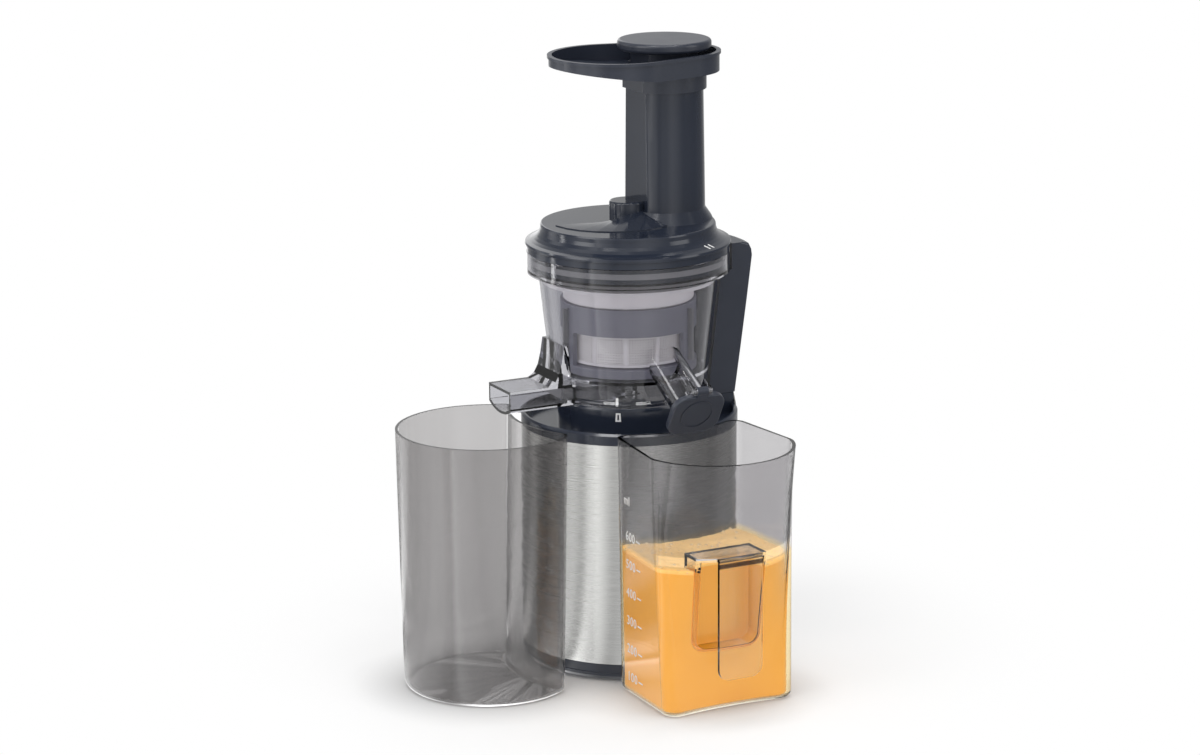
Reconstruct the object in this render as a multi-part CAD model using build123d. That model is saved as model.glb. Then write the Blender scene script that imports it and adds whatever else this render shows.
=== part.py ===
from build123d import *
import math
import os

# Cold press juicer: motor base with a leaning arm, juicing bowl with its auger, strainer and
# brush ring, lid with feed chute, tray, pusher, pulp container and juice jug.
# Millimetres. Z is up, the origin is on the table under the drive axis.
# +X is the juice side, -Y the pulp side, +Y the arm.

os.makedirs("parts", exist_ok=True)

# ------------------------------------------------------------------ clearances
GAP = 0.3
RUN = 0.05
FIT = 0.1

# ------------------------------------------------------------------ motor base
BASE_RADIUS = 76.0
FOOT_TOP = 12.5
PAN_BOTTOM = 1.5
PAN_WALL = 2.2
SHEET = 0.8
SLEEVE_TOP = 169.0
TONGUE_TOP = 184.0
TONGUE_HALF = 17.0
TONGUE_FOOT_HALF = 34.0
BAND_TOP = 177.0
BAND_RIM = 3.4
TROUGH_FLOOR = 170.0
NECK_RADIUS = 50.0
NECK_TOP = 190.0
NECK_ROUND = 4.0
COVER_WALL = 2.5
HOOK_ANGLES = (-20, 100, 220)
HOOK_INNER = 45.5
HOOK_OUTER = 51.0
HOOK_LIP = 2.0
HOOK_HALF = 5.0
HOOK_TOP = 195.0
HOOK_THICK = 1.6
RUBBER_OUTER = 62.0
RUBBER_INNER = 52.0
RUBBER_SUNK = 2.0
SCREW_RADIUS = 1.5
SCREW_HEAD = 2.8

# ------------------------------------------------------------------ arm
ARM_HALF = 22.0
ARM_TOP = 291.0
ARM_WALL = 2.2
ARM_BACK = [(76.0, 184.3), (78.2, 200.0), (80.6, 217.0), (85.2, 250.0), (89.2, 281.0)]
ARM_CORNER = 7.0
ARM_SHOULDER = 73.4
ARM_SHOULDER_LOW = 273.0
ARM_COVER = 2.0
ARM_ROUND = 1.5
ARM_SCREW_HEIGHTS = (206.0, 234.0)
ARM_SCREW_SUNK = 4.0
ARM_SCREW_LENGTH = 12.0

# ------------------------------------------------------------------ bowl
SEAT = NECK_TOP + GAP
BOWL_WALL = 2.4
BOWL_FLANGE = 56.0
BOWL_RIB_ANGLES = (5, 125, 245)
BOWL_RIB_HALF = 4.5
BOWL_RIB_REACH = 1.6
BOWL_RIB_HIGH = 192.6
BOWL_LOW_RADIUS = 54.4
BOWL_LOW = 194.5
BOWL_HIGH_RADIUS = 63.0
BOWL_HIGH = 274.5
RIM_RADIUS = 70.5
RIM_LOW = 276.0
RIM_TOP = 290.0
FLOOR_LOW = 205.5
FLOOR_TOP = 208.0
COLLAR_BORE = 6.3
COLLAR_WALL = 1.6
COLLAR_TOP = 220.0

# ------------------------------------------------------------------ spouts
PULP_REACH = 100.0
PULP_HALF = 17.0
PULP_TOP = 203.5
PULP_SIDE_LOW = 190.6
PULP_NEAR_LOW = 189.0
PULP_BOTTOM = 185.8
PULP_SHOULDER = [(-71.0, 203.0), (-65.5, 206.5), (-62.4, 212.0), (-60.4, 220.0), (-58.6, 231.0)]
PULP_WALL = 2.0
PULP_PORT_FROM = 17.5
PULP_PORT_TO = 30.0
PULP_PORT_HALF = 9.0
SPOUT_ANGLE = 30.0
SPOUT_RADIUS = 13.0
SPOUT_BORE = 10.8
SPOUT_AXIS_X = 80.0
SPOUT_AXIS_Z = 205.5
SPOUT_START = 50.0
SPOUT_END = 95.5

# ------------------------------------------------------------------ spout cap
CAP_HALF = 19.5
CAP_DROP = 17.6
CAP_RISE = 16.0
CAP_THICK = 4.0
CAP_CORNER = 10.0
CAP_RING = 12.0
PLUG_LENGTH = 5.0
HINGE_UP = 19.0
HINGE_OUT = 1.5
HINGE_PIN = 1.25
HINGE_BARREL = 3.0
HINGE_BARREL_HALF = 4.0
HINGE_LUG = 2.5
HINGE_EYE = 2.6

# ------------------------------------------------------------------ gears of the bowl
BRUSH_MODULE = 1.5
AUGER_TEETH = 16
RING_TEETH = 48
GEAR_LOW = 208.8
GEAR_TOP = 214.6
IDLER_TOP = 213.0
IDLER_PIN_RADIUS = 2.0

# ------------------------------------------------------------------ strainer and brush
STRAINER_FLOOR = 216.0
STRAINER_FLOOR_THICK = 2.0
STRAINER_BORE = 42.2
MESH = 0.6
STRAINER_RING = 45.5
STRAINER_RIB_HALF = 1.2
STRAINER_RIB_ANGLES = range(0, 360, 30)
MESH_TOP = 258.0
STRAINER_TOP = 272.0
HOLDER_BORE = 44.2
HOLDER_RADIUS = 47.4
HOLDER_BAND_LOW = 238.0
HOLDER_TOP = 257.0
HOLDER_POSTS = 3
POST_START = 32.0
POST_WIDTH = 12.0
WIPER_THICK = 2.0
WIPER_OUT = 51.0

# ------------------------------------------------------------------ auger
AUGER_BOTTOM = 208.8
AUGER_NECK = 13.6
AUGER_FLIGHT = 41.4
AUGER_FLIGHT_TOP = 262.0
AUGER_CORE = [(16.5, 219.4), (27.5, 231.0), (21.0, 246.0), (12.5, 260.0), (9.0, 268.0)]
AUGER_TWIST = 330.0
FLIGHT_THICK = 5.0
AUGER_PIN = 4.0
AUGER_PIN_TOP = 300.0
HEX_FLATS = 10.0
HEX_TOP = 238.0
BUSH_RADIUS = 7.6
BUSH_LOW = 221.5
BUSH_TOP = 243.0

# ------------------------------------------------------------------ lid
LID_LOW = RIM_TOP + GAP
LID_TOP = 310.0
LID_DISC = 60.3
LID_FLARE = 71.5
LID_WALL = 2.4
LID_LIP_BOTTOM = 280.0
LID_LIP_WALL = 2.2
HUB_RADIUS = 13.0
HUB_TOP = 325.0
BUSH_TUBE = 7.4
BUSH_TUBE_LOW = 276.0
RAMP_CENTRE = (-10.0, -6.0)
RAMP_RADIUS = 45.3
RAMP_FROM = -100.0
RAMP_TO = 30.0
RAMP_RISE = 9.3
RAMP_STEP = 0.6
RAMP_SECTIONS = 9
SEAL_LOW = 283.0
SEAL_TOP = 287.0

# ------------------------------------------------------------------ chute, tray, pusher
CHUTE_Y = 29.0
CHUTE_TOP_RADIUS = 26.8
CHUTE_FOOT_RADIUS = 28.2
CHUTE_WALL = 2.4
CHUTE_TOP = 411.0
CHUTE_FLAT = 6.5
CHUTE_CORNER = 4.0
CHUTE_SKIRT = 5.6
CHUTE_SKIRT_RISE = 8.0
TRAY_COLLAR = 10.0
TRAY_FLOOR = 2.0
TRAY_FLOOR_RISE = 7.0
TRAY_DEPTH = 14.0
TRAY_LOW = CHUTE_TOP - TRAY_COLLAR
TRAY_FLOOR_NEAR = CHUTE_TOP + TRAY_FLOOR
TRAY_FLOOR_FAR = TRAY_FLOOR_NEAR + TRAY_FLOOR_RISE
TRAY_TOP = TRAY_FLOOR_NEAR + TRAY_DEPTH
TRAY_WALL = 2.2
TRAY_NEAR_RADIUS = 38.0
TRAY_FAR_RADIUS = 46.5
TRAY_FAR_Y = -8.0
PUSHER_DISC = 32.5
PUSHER_DISC_THICK = 7.0
PUSHER_DISC_LOW = TRAY_TOP + 1.0
TOTAL_HEIGHT = PUSHER_DISC_LOW + PUSHER_DISC_THICK
PUSHER_BOTTOM = 322.0
PUSHER_WALL = 2.4
PUSHER_STOP_WIDTH = 2.6
PUSHER_STOP_THICK = 3.0

# ------------------------------------------------------------------ containers
CONTAINER_GAP = 4.5
CONTAINER_HUG = BASE_RADIUS + CONTAINER_GAP
CONTAINER_EDGE = 5.0
TUB_TOP = 181.8
TUB_DRAFT = 2.8
TUB_PLACE = (16.8, -11.2)
TUB_REACH = 107.7
TUB_RADIUS = 61.7
TUB_WALL = 2.0
TUB_CORNER = 6.5
JUG_TOP = 178.6
JUG_DRAFT = 1.6
JUG_WALL = 2.2
JUG_CORNER_HALF = 47.5
JUG_TOP_X = 135.0
JUG_TOP_HALF = 54.0
JUG_TOP_REACH = 177.0
JUG_TOP_CORNER = 20.0
JUG_LOW_X = 151.0
JUG_LOW_HALF = 49.5
JUG_LOW_REACH = 146.5
JUG_LOW_CORNER = 9.0
JUG_INNER_CORNER = 8.0
POCKET_BACK = 141.0
POCKET_LEFT = -29.0
POCKET_RIGHT = 16.0
POCKET_LOW = 47.0
POCKET_TOP = 110.0
POCKET_CORNER = 7.0
TAB_LEFT = -19.0
TAB_RIGHT = 14.0
TAB_LOW = 27.0
TAB_OUT = 165.2
TAB_THICK = 2.4
TAB_CORNER = 8.0
JUICE_TOP = 100.5
JUICE_INSET = 0.25

# ------------------------------------------------------------------ drive train
MOTOR_RADIUS = 31.0
MOTOR_LOW = 20.0
MOTOR_TOP = 92.0
MOTOR_WALL = 1.8
MAGNET = 5.0
ARMATURE_RADIUS = 23.0
MOTOR_SHAFT = 4.0
BEARING_OUTER = 9.0
BEARING_WIDTH = 6.0
FAN_RADIUS = 27.0
FAN_BLADES = 9
GEARBOX_LOW = 96.0
GEARBOX_PLATE = 4.0
GEARBOX_TOP = 144.0
GEARBOX_RADIUS = 67.0
GEARBOX_WALL = 2.5
PINION_TEETH = 14
FIRST_BIG_TEETH = 56
FIRST_SMALL_TEETH = 14
SECOND_BIG_TEETH = 49
SECOND_SMALL_TEETH = 15
OUTPUT_TEETH = 45
FAST_MODULE = 1.0
SLOW_MODULE = 1.25
AXLE_RADIUS = 2.5
STAGE_1 = (104.0, 112.0)
STAGE_2 = (115.0, 123.0)
STAGE_3 = (127.0, 138.0)
OUTPUT_SHAFT = 6.0
TOWER_RADIUS = 13.0
TOWER_TOP = 172.0
OUTPUT_BEARING_OUTER = 11.0
OUTPUT_BEARING_WIDTH = 7.0
GEAR_BACKLASH = 0.30
PRESSURE_ANGLE = 20.0

# ------------------------------------------------------------------ switch, inlet, electronics
SWITCH_Z = 62.0
SWITCH_HALF_WIDTH = 14.0
SWITCH_HALF_HEIGHT = 11.0
BEZEL_FRAME = 3.0
BEZEL_PROUD = 2.0
SWITCH_DEPTH = 16.0
ROCKER_PIVOT = 1.5
ROCKER_HUB = 3.2
ROCKER_ANGLE = 9.0
BOARD_HALF = 22.0
BOARD_Y = 52.0
BOARD_THICK = 1.6
BOARD_TOP = 92.0
INLET_Z = 26.0
INLET_RADIUS = 6.0
INLET_BORE = 3.2
PLUNGER_Z = 280.0
PLUNGER_RADIUS = 2.5
PLUNGER_PROUD = 0.9
PLUNGER_END = ARM_SHOULDER + 5.5
SPRING_RADIUS = 1.8
SPRING_WIRE = 0.25
SPRING_TURNS = 4


# ================================================================== helpers
def tube(outer, inner, low, high, x=0, y=0):
    """Upright tube between two heights."""
    height = high - low
    return Pos(x, y, low + height / 2) * (Cylinder(outer, height) - Cylinder(inner, height))


def rod(radius, low, high, x=0, y=0):
    """Upright cylinder between two heights."""
    height = high - low
    return Pos(x, y, low + height / 2) * Cylinder(radius, height)


def block(x, y, z):
    """Box between pairs of limits."""
    centre = ((x[0] + x[1]) / 2, (y[0] + y[1]) / 2, (z[0] + z[1]) / 2)
    return Pos(*centre) * Box(x[1] - x[0], y[1] - y[0], z[1] - z[0])


def turned(points):
    """Solid of revolution about Z from (radius, height) points."""
    outline = Polyline(*[(radius, 0, height) for radius, height in points], close=True)
    return revolve(make_face(outline), Axis.Z)


def side_prism(points, half_width):
    """Prism along X from (y, z) points."""
    outline = make_face(Polyline(*[(0, y, z) for y, z in points], close=True))
    return extrude(outline, half_width, dir=(1, 0, 0), both=True)


def prism(outline, low, high):
    """Upright prism of a flat outline between two heights."""
    return Pos(0, 0, low) * extrude(outline, high - low)


def along(direction, radius, start, end):
    """Cylinder between two points of one straight line."""
    length = (Vector(*end) - Vector(*start)).length
    plane = Plane(origin=start, z_dir=direction)
    return plane * (Pos(0, 0, length / 2) * Cylinder(radius, length))


def involute(angle):
    """Involute function of an angle in radians."""
    return math.tan(angle) - angle


def gear_outline(teeth, module, phase, grow=0.0, addendum=0.85, dedendum=1.15):
    """Face of an involute gear with one tooth centred on the phase angle."""
    pitch = module * teeth / 2
    base = pitch * math.cos(math.radians(PRESSURE_ANGLE))
    root = pitch - dedendum * module
    tip = pitch + addendum * module
    flank = [max(root, base) + (tip - max(root, base)) * step / 3 for step in range(4)]
    half_pitch = math.pi / (2 * teeth) + involute(math.radians(PRESSURE_ANGLE))
    half_pitch += (grow - GEAR_BACKLASH / 2) / (2 * pitch)
    points = []
    for tooth in range(teeth):
        centre = math.radians(phase) + 2 * math.pi * tooth / teeth
        halves = [(r, half_pitch - involute(math.acos(base / r))) for r in flank]
        low = [(root, halves[0][1])] if root < base else []
        side = low + halves
        points += [(r, centre - half) for r, half in side]
        points += [(r, centre + half) for r, half in reversed(side)]
    outline = Polyline(*[(r * math.cos(a), r * math.sin(a)) for r, a in points], close=True)
    return make_face(outline)


def gear(teeth, module, phase, heights, at, bore):
    """Spur gear with a plain bore."""
    wheel = prism(gear_outline(teeth, module, phase), *heights)
    wheel -= rod(bore, heights[0] - 1, heights[1] + 1)
    return Pos(at[0], at[1], 0) * wheel


def meshing_phase(direction, phase, teeth, mating_teeth):
    """Phase of an outer gear that meshes with a first one in a direction in degrees."""
    return direction + 180 + 180 / mating_teeth + (direction - phase) * teeth / mating_teeth


def d_outline(radius, flat):
    """Chute section: a circle cut flat on the side of the hub, with soft corners."""
    half = math.sqrt(radius ** 2 - (CHUTE_Y - flat) ** 2)
    arc = ThreePointArc((-half, flat), (0, CHUTE_Y + radius), (half, flat))
    outline = make_face(arc + Line((half, flat), (-half, flat)))
    return fillet(outline.vertices(), CHUTE_CORNER)


def chute_body(low):
    """Solid body of the chute from a height up: a slight cone cut flat, with soft corners."""
    cone = Pos(0, CHUTE_Y, (low + CHUTE_TOP) / 2) * Cone(CHUTE_FOOT_RADIUS, CHUTE_TOP_RADIUS, CHUTE_TOP - low)
    body = cone & block((-CHUTE_FOOT_RADIUS, CHUTE_FOOT_RADIUS), (CHUTE_FLAT, CHUTE_Y + CHUTE_FOOT_RADIUS + 1),
                        (low, CHUTE_TOP))
    flat_face = body.faces().sort_by(Axis.Y)[0]
    corners = [edge for edge in flat_face.edges() if edge.bounding_box().size.Z > CHUTE_CORNER]
    return fillet(corners, CHUTE_CORNER)


def tray_outline(inset):
    """Drop-shaped outline around the chute circle and the larger loading circle."""
    near = TRAY_NEAR_RADIUS - inset
    far = TRAY_FAR_RADIUS - inset
    slope = math.asin((far - near) / (CHUTE_Y - TRAY_FAR_Y))
    near_x = near * math.cos(slope)
    near_y = CHUTE_Y + near * math.sin(slope)
    far_x = far * math.cos(slope)
    far_y = TRAY_FAR_Y + far * math.sin(slope)
    top = ThreePointArc((-near_x, near_y), (0, CHUTE_Y + near), (near_x, near_y))
    right = Line((near_x, near_y), (far_x, far_y))
    bottom = ThreePointArc((far_x, far_y), (0, TRAY_FAR_Y - far), (-far_x, far_y))
    left = Line((-far_x, far_y), (-near_x, near_y))
    return make_face(top + right + bottom + left)


# ================================================================== base casings
def screw_places(circle, angles):
    """Places on a circle at angles in degrees."""
    return [(circle * math.cos(math.radians(a)), circle * math.sin(math.radians(a))) for a in angles]


BASE_SCREW_CIRCLE = 68.0
BASE_SCREW_ANGLES = [20, 160, 200, 340]
PAN_FLOOR = PAN_BOTTOM + PAN_WALL
SLEEVE_INNER = BASE_RADIUS - SHEET
COVER_RADIUS = SLEEVE_INNER - 0.2


def make_base_pan():
    """Foot ring and bottom plate with air slots at the back and screw bosses."""
    groove = 0.6
    ring_bottom = BASE_RADIUS - 2.5
    outside = turned([
        (0, PAN_BOTTOM), (ring_bottom, PAN_BOTTOM), (BASE_RADIUS, PAN_BOTTOM + 2.5),
        (BASE_RADIUS, 6.0), (BASE_RADIUS - groove, 6.3), (BASE_RADIUS - groove, FOOT_TOP),
        (0, FOOT_TOP)])
    pan = outside - rod(BASE_RADIUS - groove - PAN_WALL, PAN_FLOOR, FOOT_TOP + 1)
    step = tube(SLEEVE_INNER - 0.1, SLEEVE_INNER - PAN_WALL, FOOT_TOP, FOOT_TOP + 4)
    pan += step + tube(BASE_RADIUS - groove, SLEEVE_INNER - PAN_WALL, FOOT_TOP - 2, FOOT_TOP)
    pan += tube(RUBBER_OUTER + 2, RUBBER_INNER - 2, PAN_BOTTOM, PAN_FLOOR + RUBBER_SUNK)
    pan -= tube(RUBBER_OUTER + FIT, RUBBER_INNER - FIT, PAN_BOTTOM - 1, PAN_BOTTOM + RUBBER_SUNK)
    for x, y in screw_places(BASE_SCREW_CIRCLE, BASE_SCREW_ANGLES):
        pan += rod(SCREW_HEAD + 1.2, PAN_BOTTOM, FOOT_TOP, x, y)
        pan -= rod(SCREW_HEAD + 0.2, PAN_BOTTOM - 1, PAN_BOTTOM + 2.5, x, y)
        pan -= rod(SCREW_RADIUS + 0.2, PAN_BOTTOM, FOOT_TOP + 5, x, y)
    for slot in range(-4, 5):
        air_slot = block((BASE_RADIUS - 6, BASE_RADIUS + 2), (-1.2, 1.2), (PAN_FLOOR + 1.0, FOOT_TOP - 2.5))
        pan -= Rot(0, 0, 90 + 5 * slot) * air_slot
    return pan


def make_rubber_foot():
    """Ring that stands on the table."""
    return tube(RUBBER_OUTER, RUBBER_INNER, 0, PAN_BOTTOM + RUBBER_SUNK - 0.05)


def tongue_prism(grow, top):
    """Wedge over which the rear tongue of the sleeve is kept."""
    low = SLEEVE_TOP - 1
    points = [(-TONGUE_FOOT_HALF - grow, low), (-TONGUE_FOOT_HALF - grow, SLEEVE_TOP),
              (-TONGUE_HALF - grow, top), (TONGUE_HALF + grow, top),
              (TONGUE_FOOT_HALF + grow, SLEEVE_TOP), (TONGUE_FOOT_HALF + grow, low)]
    outline = make_face(Polyline(*[(x, 0, z) for x, z in points], close=True))
    return extrude(outline, BASE_RADIUS + 20, dir=(0, 1, 0))


def make_steel_sleeve():
    """Brushed steel wrap, open for the switch and the cord inlet at the back."""
    wrap = tube(BASE_RADIUS, SLEEVE_INNER, FOOT_TOP + 0.1, SLEEVE_TOP)
    tongue = tube(BASE_RADIUS, SLEEVE_INNER, SLEEVE_TOP - 1, TONGUE_TOP) & tongue_prism(0, TONGUE_TOP)
    wrap += tongue
    opening_x = SWITCH_HALF_WIDTH - BEZEL_FRAME + FIT
    opening_z = SWITCH_HALF_HEIGHT - BEZEL_FRAME + FIT
    back = (BASE_RADIUS - 25, BASE_RADIUS + 5)
    wrap -= block((-opening_x, opening_x), back, (SWITCH_Z - opening_z, SWITCH_Z + opening_z))
    wrap -= along((0, 1, 0), INLET_RADIUS + FIT, (0, back[0], INLET_Z), (0, back[1], INLET_Z))
    return wrap


def bayonet_hook():
    """Hook on the neck that the bowl's rib turns under."""
    post = block((HOOK_INNER, HOOK_OUTER - HOOK_LIP), (-HOOK_HALF, HOOK_HALF),
                 (NECK_TOP - COVER_WALL, HOOK_TOP))
    lip = block((HOOK_INNER, HOOK_OUTER), (-HOOK_HALF, HOOK_HALF), (HOOK_TOP - HOOK_THICK, HOOK_TOP))
    return post + lip


def make_top_cover():
    """Black band, trough, neck and arm root in one moulding."""
    lip = COVER_RADIUS
    profile = [
        (lip, SLEEVE_TOP - 12), (lip, SLEEVE_TOP + 0.1), (BASE_RADIUS, SLEEVE_TOP + 0.1),
        (BASE_RADIUS, BAND_TOP - 1.5), (BASE_RADIUS - 1.5, BAND_TOP),
        (BASE_RADIUS - BAND_RIM + 0.6, BAND_TOP), (BASE_RADIUS - BAND_RIM, BAND_TOP - 0.6),
        (BASE_RADIUS - BAND_RIM, TROUGH_FLOOR), (NECK_RADIUS, TROUGH_FLOOR),
        (NECK_RADIUS, NECK_TOP), (0, NECK_TOP),
        (0, NECK_TOP - COVER_WALL), (NECK_RADIUS - COVER_WALL, NECK_TOP - COVER_WALL),
        (NECK_RADIUS - COVER_WALL, TROUGH_FLOOR - COVER_WALL),
        (lip - COVER_WALL, TROUGH_FLOOR - COVER_WALL), (lip - COVER_WALL, SLEEVE_TOP - 12)]
    cover = turned(profile)
    neck_edge = cover.edges().filter_by(GeomType.CIRCLE).filter_by(
        lambda e: abs(e.radius - NECK_RADIUS) < 0.01 and abs(e.arc_center.Z - NECK_TOP) < 0.01)
    cover = fillet(neck_edge, NECK_ROUND)
    root = rod(COVER_RADIUS, TROUGH_FLOOR - 1, TONGUE_TOP) - rod(arm_inner(TONGUE_TOP), 0, TONGUE_TOP + 1)
    root &= block((-ARM_HALF, ARM_HALF), (0, BASE_RADIUS), (TROUGH_FLOOR - 1, TONGUE_TOP))
    hollow = rod(COVER_RADIUS - ARM_WALL, 0, TONGUE_TOP - 2)
    hollow -= rod(arm_inner(TONGUE_TOP) + ARM_WALL, 0, TONGUE_TOP)
    hollow &= block((-ARM_HALF + ARM_WALL, ARM_HALF - ARM_WALL), (0, BASE_RADIUS),
                    (TROUGH_FLOOR - 4, TONGUE_TOP - 2))
    notch = tube(BASE_RADIUS + 5, SLEEVE_INNER - 0.1, SLEEVE_TOP, TONGUE_TOP + 1)
    notch &= tongue_prism(0.3, TONGUE_TOP + 0.3)
    cover = cover - notch + root - hollow
    cover += tube(OUTPUT_SHAFT + 6, OUTPUT_SHAFT + 2.2, NECK_TOP - 8, NECK_TOP - COVER_WALL)
    cover -= rod(OUTPUT_SHAFT + 2.2, NECK_TOP - 9, NECK_TOP + 1)
    for angle in HOOK_ANGLES:
        cover += Rot(0, 0, angle) * bayonet_hook()
    return cover


# ================================================================== arm
def bowl_outer(height):
    """Outer radius of the bowl cone at a height."""
    share = (height - BOWL_LOW) / (BOWL_HIGH - BOWL_LOW)
    return BOWL_LOW_RADIUS + share * (BOWL_HIGH_RADIUS - BOWL_LOW_RADIUS)


ARM_CLEAR = 2.6


def arm_inner(height):
    """Radius of the concave inner face of the arm at a height."""
    return bowl_outer(height) + ARM_CLEAR


def arm_profile(offset, low, front):
    """Radial section of the arm, inset by an offset, with its front face moved outwards."""
    back = [(radius - offset, height) for radius, height in ARM_BACK[1:]]
    back_foot = (ARM_BACK[0][0] - offset, low)
    top = ARM_TOP - offset
    corner = ARM_CORNER
    crown = [(back[-1][0] - 0.6, top - corner + 1.5), (back[-1][0] - 2.6, top - 1.4),
             (back[-1][0] - corner, top)]
    shoulder = ARM_SHOULDER + front
    step = ARM_SHOULDER_LOW
    inner = [(shoulder, top), (shoulder, step), (arm_inner(step - 6) + front, step - 6),
             (arm_inner(low) + front, low)]
    return [back_foot] + back + crown + inner


ARM_LOW = ARM_BACK[0][1]


def arm_slab(inset, low):
    """Slab that gives the arm its width."""
    return block((-ARM_HALF + inset, ARM_HALF - inset), (20, 110), (low, ARM_TOP + 1))


def make_arm_housing():
    """Back and side walls of the leaning arm, open towards the bowl for its cover."""
    body = turned(arm_profile(0, ARM_LOW, 0)) & arm_slab(0, ARM_LOW)
    edges = body.edges().filter_by(lambda e: abs(abs(e.center().X) - ARM_HALF) < 0.01
                                   and e.center().Y > arm_inner(e.center().Z) + 8)
    body = fillet(edges, ARM_ROUND)
    hollow = turned(arm_profile(ARM_WALL, ARM_LOW - 1, -20)) & arm_slab(ARM_WALL, ARM_LOW - 1)
    housing = body - hollow + arm_plunger_guide()
    for height in ARM_SCREW_HEIGHTS:
        seat = arm_back(height) - ARM_SCREW_SUNK
        housing += along((0, 1, 0), SCREW_HEAD + 1.6, (0, seat - ARM_WALL, height), (0, seat + 3, height))
        housing -= along((0, 1, 0), SCREW_HEAD + 0.3, (0, seat, height), (0, seat + 10, height))
        housing -= along((0, 1, 0), SCREW_RADIUS + 0.2, (0, seat - 5, height), (0, seat + 1, height))
    return housing


def arm_back(height):
    """Radius of the outer face of the arm at a height."""
    for (low_radius, low), (high_radius, high) in zip(ARM_BACK, ARM_BACK[1:]):
        if low <= height <= high:
            return low_radius + (height - low) / (high - low) * (high_radius - low_radius)
    return ARM_BACK[-1][0]


def arm_plunger_guide():
    """Guide block of the plunger, moulded to the back wall of the arm."""
    back = ARM_BACK[-1][0] - ARM_WALL
    guide = block((-6, 6), (ARM_SHOULDER + ARM_COVER + 1, back + 0.5), (PLUNGER_Z - 5, PLUNGER_Z + 5))
    start = (0, ARM_SHOULDER, PLUNGER_Z)
    return guide - along((0, 1, 0), PLUNGER_RADIUS + FIT, start, (0, back - 0.2, PLUNGER_Z))


def make_arm_front_cover():
    """Concave plate that closes the arm along the bowl."""
    plate = turned(arm_profile(ARM_WALL + 0.1, ARM_LOW + 0.1, 0)) - turned(arm_profile(0, ARM_LOW - 1, ARM_COVER))
    keep = arm_slab(ARM_WALL + 0.1, ARM_LOW + 0.1)
    plate &= keep
    solids = plate.solids().sort_by(SortBy.VOLUME)
    plate = solids[-1]
    start = (0, ARM_SHOULDER - 3, PLUNGER_Z)
    plate -= along((0, 1, 0), PLUNGER_RADIUS + FIT, start, (0, ARM_SHOULDER + 6, PLUNGER_Z))
    for height in ARM_SCREW_HEIGHTS:
        near = arm_inner(height) + ARM_COVER
        far = arm_back(height) - ARM_SCREW_SUNK - ARM_WALL - 0.05
        plate += along((0, 1, 0), SCREW_RADIUS + 2, (0, near - 1, height), (0, far, height))
        plate -= along((0, 1, 0), SCREW_RADIUS, (0, near, height), (0, far + 1, height))
    return plate


def make_arm_screws():
    """Two screws from behind that hold the arm halves together."""
    screws = []
    for height in ARM_SCREW_HEIGHTS:
        seat = arm_back(height) - ARM_SCREW_SUNK + 0.05
        body = screw(0, 0, 0, ARM_SCREW_LENGTH)
        screws.append(Pos(0, seat + 1.8, height) * Rot(90, 0, 0) * body)
    return Compound(children=screws)


def make_interlock_plunger():
    """Round-nosed pin that the lid presses."""
    nose = (0, ARM_SHOULDER - PLUNGER_PROUD, PLUNGER_Z)
    pin = along((0, 1, 0), PLUNGER_RADIUS, nose, (0, PLUNGER_END, PLUNGER_Z))
    return fillet(pin.edges().sort_by(Axis.Y)[0], 1.0)


def make_interlock_spring():
    """Coil spring behind the plunger."""
    length = ARM_BACK[-1][0] - ARM_WALL - PLUNGER_END - 1.2
    helix = Helix(pitch=length / SPRING_TURNS, height=length, radius=SPRING_RADIUS)
    wire = Plane(origin=helix @ 0, z_dir=helix % 0) * Circle(SPRING_WIRE)
    coil = sweep(wire, path=helix, is_frenet=True)
    return Plane(origin=(0, PLUNGER_END + 0.5, PLUNGER_Z), z_dir=(0, 1, 0)) * coil


def make_interlock_switch():
    """Microswitch behind the plunger."""
    low = ARM_SHOULDER_LOW - 32
    body = block((-6, 6), (ARM_SHOULDER + 0.5, ARM_SHOULDER + 6.5), (low, low + 20))
    lever = block((-2, 2), (ARM_SHOULDER + 3, ARM_SHOULDER + 3.5), (low + 20, low + 26))
    return body + lever


# ================================================================== switch, inlet, electronics
def make_switch_bezel():
    """Frame of the power switch with its body inside the sleeve."""
    half_x = SWITCH_HALF_WIDTH
    half_z = SWITCH_HALF_HEIGHT
    face = BASE_RADIUS + BEZEL_PROUD
    frame = block((-half_x, half_x), (BASE_RADIUS - 3, face), (SWITCH_Z - half_z, SWITCH_Z + half_z))
    frame = fillet(frame.edges().filter_by(Axis.Y), 2.0)
    frame -= rod(BASE_RADIUS + 0.05, 0, SLEEVE_TOP)
    core_x = half_x - BEZEL_FRAME
    core_z = half_z - BEZEL_FRAME
    core = block((-core_x, core_x), (face - SWITCH_DEPTH, face - 0.5), (SWITCH_Z - core_z, SWITCH_Z + core_z))
    well = block((-core_x + 1.2, core_x - 1.2), (face - 10, face + 1),
                 (SWITCH_Z - core_z + 1.2, SWITCH_Z + core_z - 1.2))
    pivot = (face - 5, SWITCH_Z)
    pin = along((1, 0, 0), ROCKER_PIVOT, (-core_x, *pivot), (core_x, *pivot))
    return frame + core - well + pin


def make_power_rocker():
    """Rocker for on, off and reverse, turning on the pin of its frame."""
    face = BASE_RADIUS + BEZEL_PROUD
    half_x = SWITCH_HALF_WIDTH - BEZEL_FRAME - 1.2 - GAP
    reach = SWITCH_HALF_HEIGHT - BEZEL_FRAME - 1.2 - GAP - 0.6
    points = [(face - 6.0, -3.0), (face - 2.0, -reach), (face + 1.6, -reach), (face + 0.3, 0),
              (face + 1.6, reach), (face - 2.0, reach), (face - 6.0, 3.0)]
    pivot = (face - 5, SWITCH_Z)
    body = side_prism([(y, z + SWITCH_Z) for y, z in points], half_x)
    body += along((1, 0, 0), ROCKER_HUB, (-half_x, *pivot), (half_x, *pivot))
    return body - along((1, 0, 0), ROCKER_PIVOT + RUN, (-half_x - 1, *pivot), (half_x + 1, *pivot))


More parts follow.
